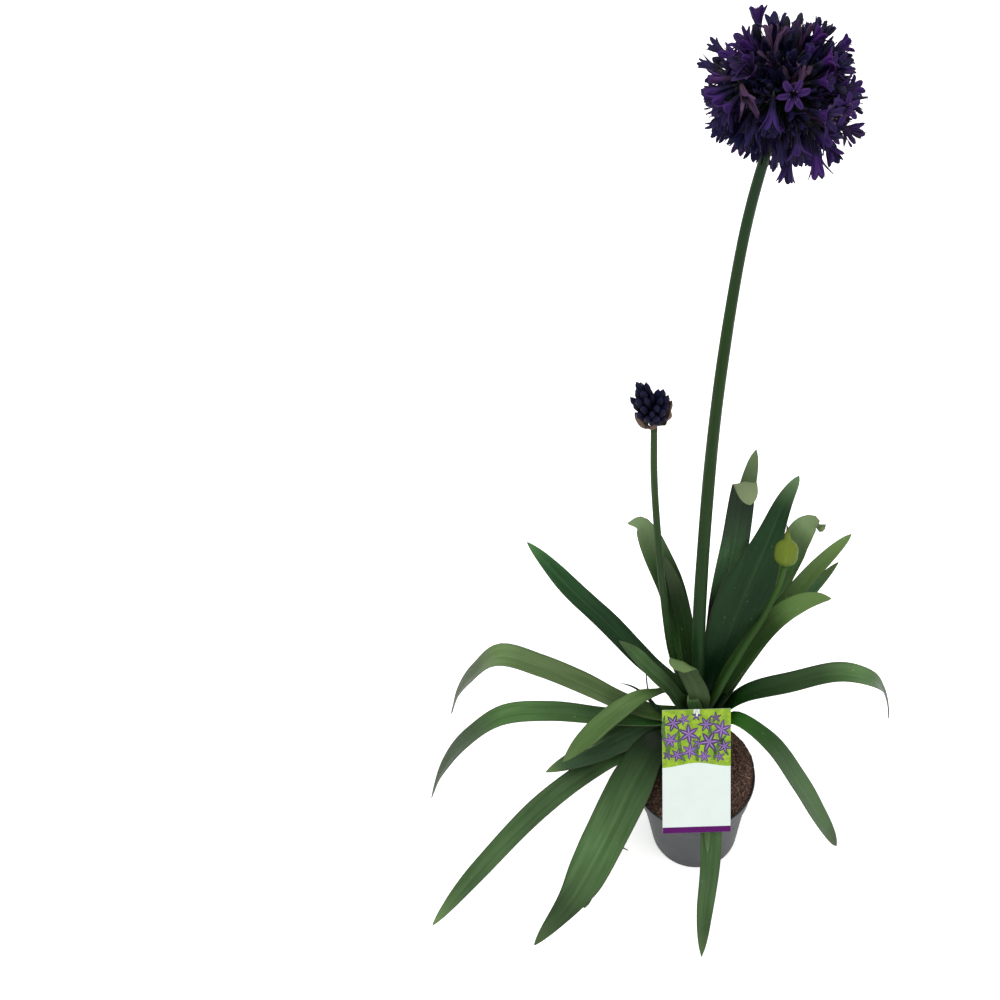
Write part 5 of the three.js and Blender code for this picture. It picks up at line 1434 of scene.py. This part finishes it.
def addPrint(bunch, outline, level, age=0.0):
    # A printed shape: a very thin raised plate with the outline given, in card millimetres
    outline = np.asarray(outline, float)
    n = len(outline)
    ring = np.arange(n)
    nextOne = np.roll(ring, -1)
    heights = (card["thick"] + 0.01, card["thick"] + card["ink"] * level)
    points = onCard(np.concatenate([np.column_stack([outline, np.full(n, z)]) for z in heights]))
    faces = [np.stack([ring, nextOne, nextOne + n, ring + n], -1), (ring + n)[None], ring[::-1][None]]
    twice = np.column_stack([np.tile(outline, (2, 1)), np.zeros(2 * n)])
    bunch.add(points, faces, twice / card["width"] * 2, twice, age)


def rimPoint(angle):
    # Where a line from the hole at this angle meets the card's edge
    half, l, hole = card["width"] / 2, card["length"], card["length"] - card["holeDrop"]
    dx, dy = math.cos(angle), math.sin(angle)
    reach = min((half if dx > 0 else -half) / dx if abs(dx) > 1e-9 else math.inf,
                ((l if dy > 0 else 0) - hole) / dy if abs(dy) > 1e-9 else math.inf)
    return (reach * dx, hole + reach * dy)


def cardBoard():
    # The card with its hole: both outlines turn together round the hole
    w, l, drop, radius = card["width"], card["length"], card["holeDrop"], card["holeRadius"]
    corners = [math.atan2(y, x) % (2 * math.pi) for x in (w / 2, -w / 2) for y in (drop, drop - l)]
    turn = np.array(sorted([*np.linspace(0, 2 * math.pi, 33)[:-1], *corners]))
    hole = np.column_stack([radius * np.cos(turn), l - drop + radius * np.sin(turn)])
    square = np.array([rimPoint(a) for a in turn])
    n = len(turn)
    points = np.concatenate([np.column_stack([outline, np.full(n, z)])
                             for z in (0, card["thick"]) for outline in (square, hole)])
    ring = np.arange(n)
    nextOne = np.roll(ring, -1)
    # the four outlines are 0 lower square, 1 lower hole, 2 upper square, 3 upper hole
    faces = [np.stack([ring + a * n, nextOne + a * n, nextOne + b * n, ring + b * n], -1)
             for a, b in ((2, 3), (1, 0), (0, 2), (3, 1))]
    board = Bunch()
    board.add(onCard(points), faces, np.zeros((4 * n, 3)), points)
    return board


def pictureOutline():
    # From lower right along the wave to lower left, then over the top, notched round the hole
    w, l = card["width"], card["length"]
    x = np.linspace(-w / 2, w / 2, 30)
    border = card["pictureFrom"] + card["wave"] * np.cos(x / w * 2 * math.pi)
    r = card["holeRadius"] + 0.6
    notch = [(r * math.cos(a), l - card["holeDrop"] + r * math.sin(a))
             for a in np.linspace(0, -math.pi, 13)]
    return [*zip(x, border), (w / 2, l), (r, l), *notch, (-r, l), (-w / 2, l)]


def addPrintedBlade(picture, x0, y0, x1, y1, half):
    u = np.linspace(0, 1, 12)
    side = np.array([y0 - y1, x1 - x0]) / math.hypot(x1 - x0, y1 - y0)
    bow = side * card["bladeBow"] * np.sin(u * math.pi)[:, None]
    spine = np.column_stack([blend(x0, x1, u), blend(y0, y1, u)]) + bow
    wide = (half * np.sqrt(np.sin(0.25 + 2.8 * u)))[:, None] * side
    addPrint(picture, [*(spine + wide), *(spine - wide)[::-1]], 2)


def addRosette(picture, x0, y0, reach, petals, first, tone):
    u = np.linspace(0, 1, 9)
    along, across = reach * u, reach * card["petalWidth"] * np.sin(np.pi * u ** 0.8)
    for i in range(petals):
        turn = math.radians(first + 360 * i / petals)
        c, s = math.cos(turn), math.sin(turn)
        # a whole petal, and a narrow pale streak on it
        for share, level, age in ((1.0, 3, 0.3 + 0.4 * tone), (0.3, 4, 0.75 + 0.2 * tone)):
            long, wide = along * (0.7 + 0.3 * share), across * share
            petal = np.array([*zip(long, wide), *zip(long[-2:0:-1], -wide[-2:0:-1])])
            addPrint(picture, petal @ np.array([[c, s], [-s, c]]) + (x0, y0), level + 0.1 * i / petals, age)


def labelPieces():
    white = plainFinish("labelCard", (0.54, 0.6, 0.57), (0.56, 0.625, 0.595), (0.4, 0.5),
                        0.00005, 30, 700, 0.2)
    makePiece("labelCard", cardBoard(), white, ["label"], flat=True)
    ground, picture, stripe = Bunch(), Bunch(), Bunch()
    addPrint(ground, pictureOutline(), 1)
    makePiece("labelGround", ground, limeFinish(), [], flat=True)
    for blade in printedBlades:
        addPrintedBlade(picture, *blade)
    for rosette in rosettes:
        addRosette(picture, *rosette)
    makePiece("labelPicture", picture, pictureFinish(), [], flat=True)
    half, band = card["width"] / 2, card["band"]
    addPrint(stripe, [(-half, 0.05), (half, 0.05), (half, band), (-half, band)], 1)
    ink = plainFinish("labelBand", (0.06, 0.0005, 0.076), (0.075, 0.001, 0.09), (0.36, 0.46),
                      0.00004, 30, 700, 0.15)
    makePiece("labelBand", stripe, ink, [], flat=True)


def pictureFinish():
    made, w, shader = startFinish("labelPicture")
    age = w.read("age", "Fac")  # 0 leaf, from 0.3 petal, from 0.75 streak
    soft = w.spread(w.noise(w.read("grain"), 0.35, 3.0, 0.6), 0.35, 0.65)
    blade = w.mix(soft, (0.025, 0.07, 0.012), (0.07, 0.15, 0.02))
    violet = w.mix(w.spread(age, 0.3, 0.7), (0.018, 0.006, 0.04), (0.1, 0.04, 0.19))
    violet = w.mix(w.math("MULTIPLY", soft, 0.5), violet, (0.05, 0.014, 0.1))
    violet = w.mix(w.spread(age, 0.74, 0.76), violet, (0.24, 0.14, 0.4))
    colour = w.mix(w.spread(age, 0.1, 0.2), blade, violet)
    endFinish(w, shader, colour, soft, (0.35, 0.45), 0.5, soft, 0.00004, 0.3)
    return made


def limeFinish():
    made, w, shader = startFinish("labelLime")
    grain = w.read("grain")
    soft = w.spread(w.noise(grain, 0.09, 3.0, 0.6), 0.35, 0.65)
    colour = w.mix(soft, (0.135, 0.25, 0.002), (0.25, 0.385, 0.006))
    spots = w.spread(w.noise(grain, 0.4, 2.0, 0.5), 0.5, 0.75, (0.0, 0.7))
    colour = w.mix(spots, colour, (0.1, 0.2, 0.012))
    endFinish(w, shader, colour, soft, (0.32, 0.42), 0.5, w.noise(grain, 2.0, 1.0, 0.5), 0.00004, 0.3)
    return made


labelPieces()


hookShape = {
    "behind": 9, "postHeights": (98, 140, 190), "ahead": 2.2, "radii": [1.2, 1.2, 1.2, 1.2, 1.15, 1.0],
    "curl": [(3.2, 2.4), (1.6, 4.6)],  # how far the curled end lies ahead of the card and up it
}


def hookPiece():
    # White plastic: a post out of the soil behind the card, an arm through the hole and a curled end
    h = hookShape
    bunch = Bunch()
    holeY = card["length"] - card["holeDrop"]
    hole, above, before = onCard([(0, holeY, 0), (0, holeY + 1, 0), (0, holeY, 1)])
    ahead, upCard = before - hole, above - hole
    post = [(hole[0], hole[1] - h["behind"], z) for z in h["postHeights"]]
    arm = [hole - ahead * h["behind"], hole, hole + ahead * h["ahead"]]
    curl = [hole + ahead * forward + upCard * up for forward, up in h["curl"]]
    tube(bunch, [*post, *arm, *curl], h["radii"], steps=60, sides=14)
    white = plainFinish("hookPlastic", (0.62, 0.63, 0.61), (0.68, 0.68, 0.66), (0.28, 0.42),
                        0.00005, 60, 900, 0.3)
    return makePiece("labelHook", bunch, white, ["label_hook"])


hookPiece()
print("Label and hook are made")


# Floor, light and camera

studioFloor = {"half": 9.0, "below": 0.0004, "first": (0.93, 0.93, 0.93), "second": (0.95, 0.95, 0.95),
               "roughness": 0.9, "specular": 0.1, "glow": 0.45}


def floorPiece():
    s = studioFloor
    mesh = bpy.data.meshes.new("studioFloor")
    corners = [(x * s["half"], y * s["half"], 0) for x, y in ((-1, -1), (1, -1), (1, 1), (-1, 1))]
    mesh.from_pydata(corners, [], [(0, 1, 2, 3)])
    made, w, shader = startFinish("paleFloor")
    spots = placeGroup(w, mottle, **{"Coarse Scale": 1.2, "Fine Scale": 60.0})
    w.feed(shader.inputs["Base Color"], w.mix(spots["Coarse"], s["first"], s["second"]))
    shader.inputs["Roughness"].default_value = s["roughness"]
    shader.inputs["Specular IOR Level"].default_value = s["specular"]
    shader.inputs["Emission Color"].default_value = (1, 1, 1, 1)
    shader.inputs["Emission Strength"].default_value = s["glow"]
    mesh.materials.append(made)
    floor = bpy.data.objects.new("studioFloor", mesh)
    floor.location.z = -s["below"]
    bpy.context.scene.collection.objects.link(floor)


floorPiece()

lights = {
    "overhead": {"at": (-0.5, -0.2, 3.2), "size": 3.0, "power": 76, "aim": (0, 0.05, 0.3)},
    "side": {"at": (2.4, -1.7, 1.9), "size": 2.0, "power": 22, "aim": (0, 0.05, 0.3)},
}
worldLight = {"colour": (1.0, 1.0, 1.0), "strength": 0.74}


def addLights():
    world = bpy.data.worlds.new("studioAir")
    world.use_nodes = True
    ground = world.node_tree.nodes["Background"]
    ground.inputs["Color"].default_value = (*worldLight["colour"], 1)
    ground.inputs["Strength"].default_value = worldLight["strength"]
    bpy.context.scene.world = world
    for name, light in lights.items():
        lamp = bpy.data.lights.new(name, "AREA")
        lamp.shape = "DISK"
        lamp.size = light["size"]
        lamp.energy = light["power"]
        made = bpy.data.objects.new(name, lamp)
        made.location = light["at"]
        way = Vector(light["aim"]) - Vector(light["at"])
        made.rotation_euler = way.to_track_quat("-Z", "Y").to_euler()
        bpy.context.scene.collection.objects.link(made)


addLights()

view = {
    "at": (0, -0.70517, 1.40017), "turn": (41.0876, 6.4174, 5.5666), "lens": 46.8, "sensor": 36, "far": 40,
}


def addCamera():
    camera = bpy.data.objects.new("camera", bpy.data.cameras.new("camera"))
    camera.location = view["at"]
    camera.rotation_euler = [math.radians(v) for v in view["turn"]]
    camera.data.lens = view["lens"]
    camera.data.sensor_width = view["sensor"]
    camera.data.clip_end = view["far"]
    bpy.context.scene.collection.objects.link(camera)
    bpy.context.scene.camera = camera
    bpy.context.scene.view_settings.view_transform = "Standard"


addCamera()
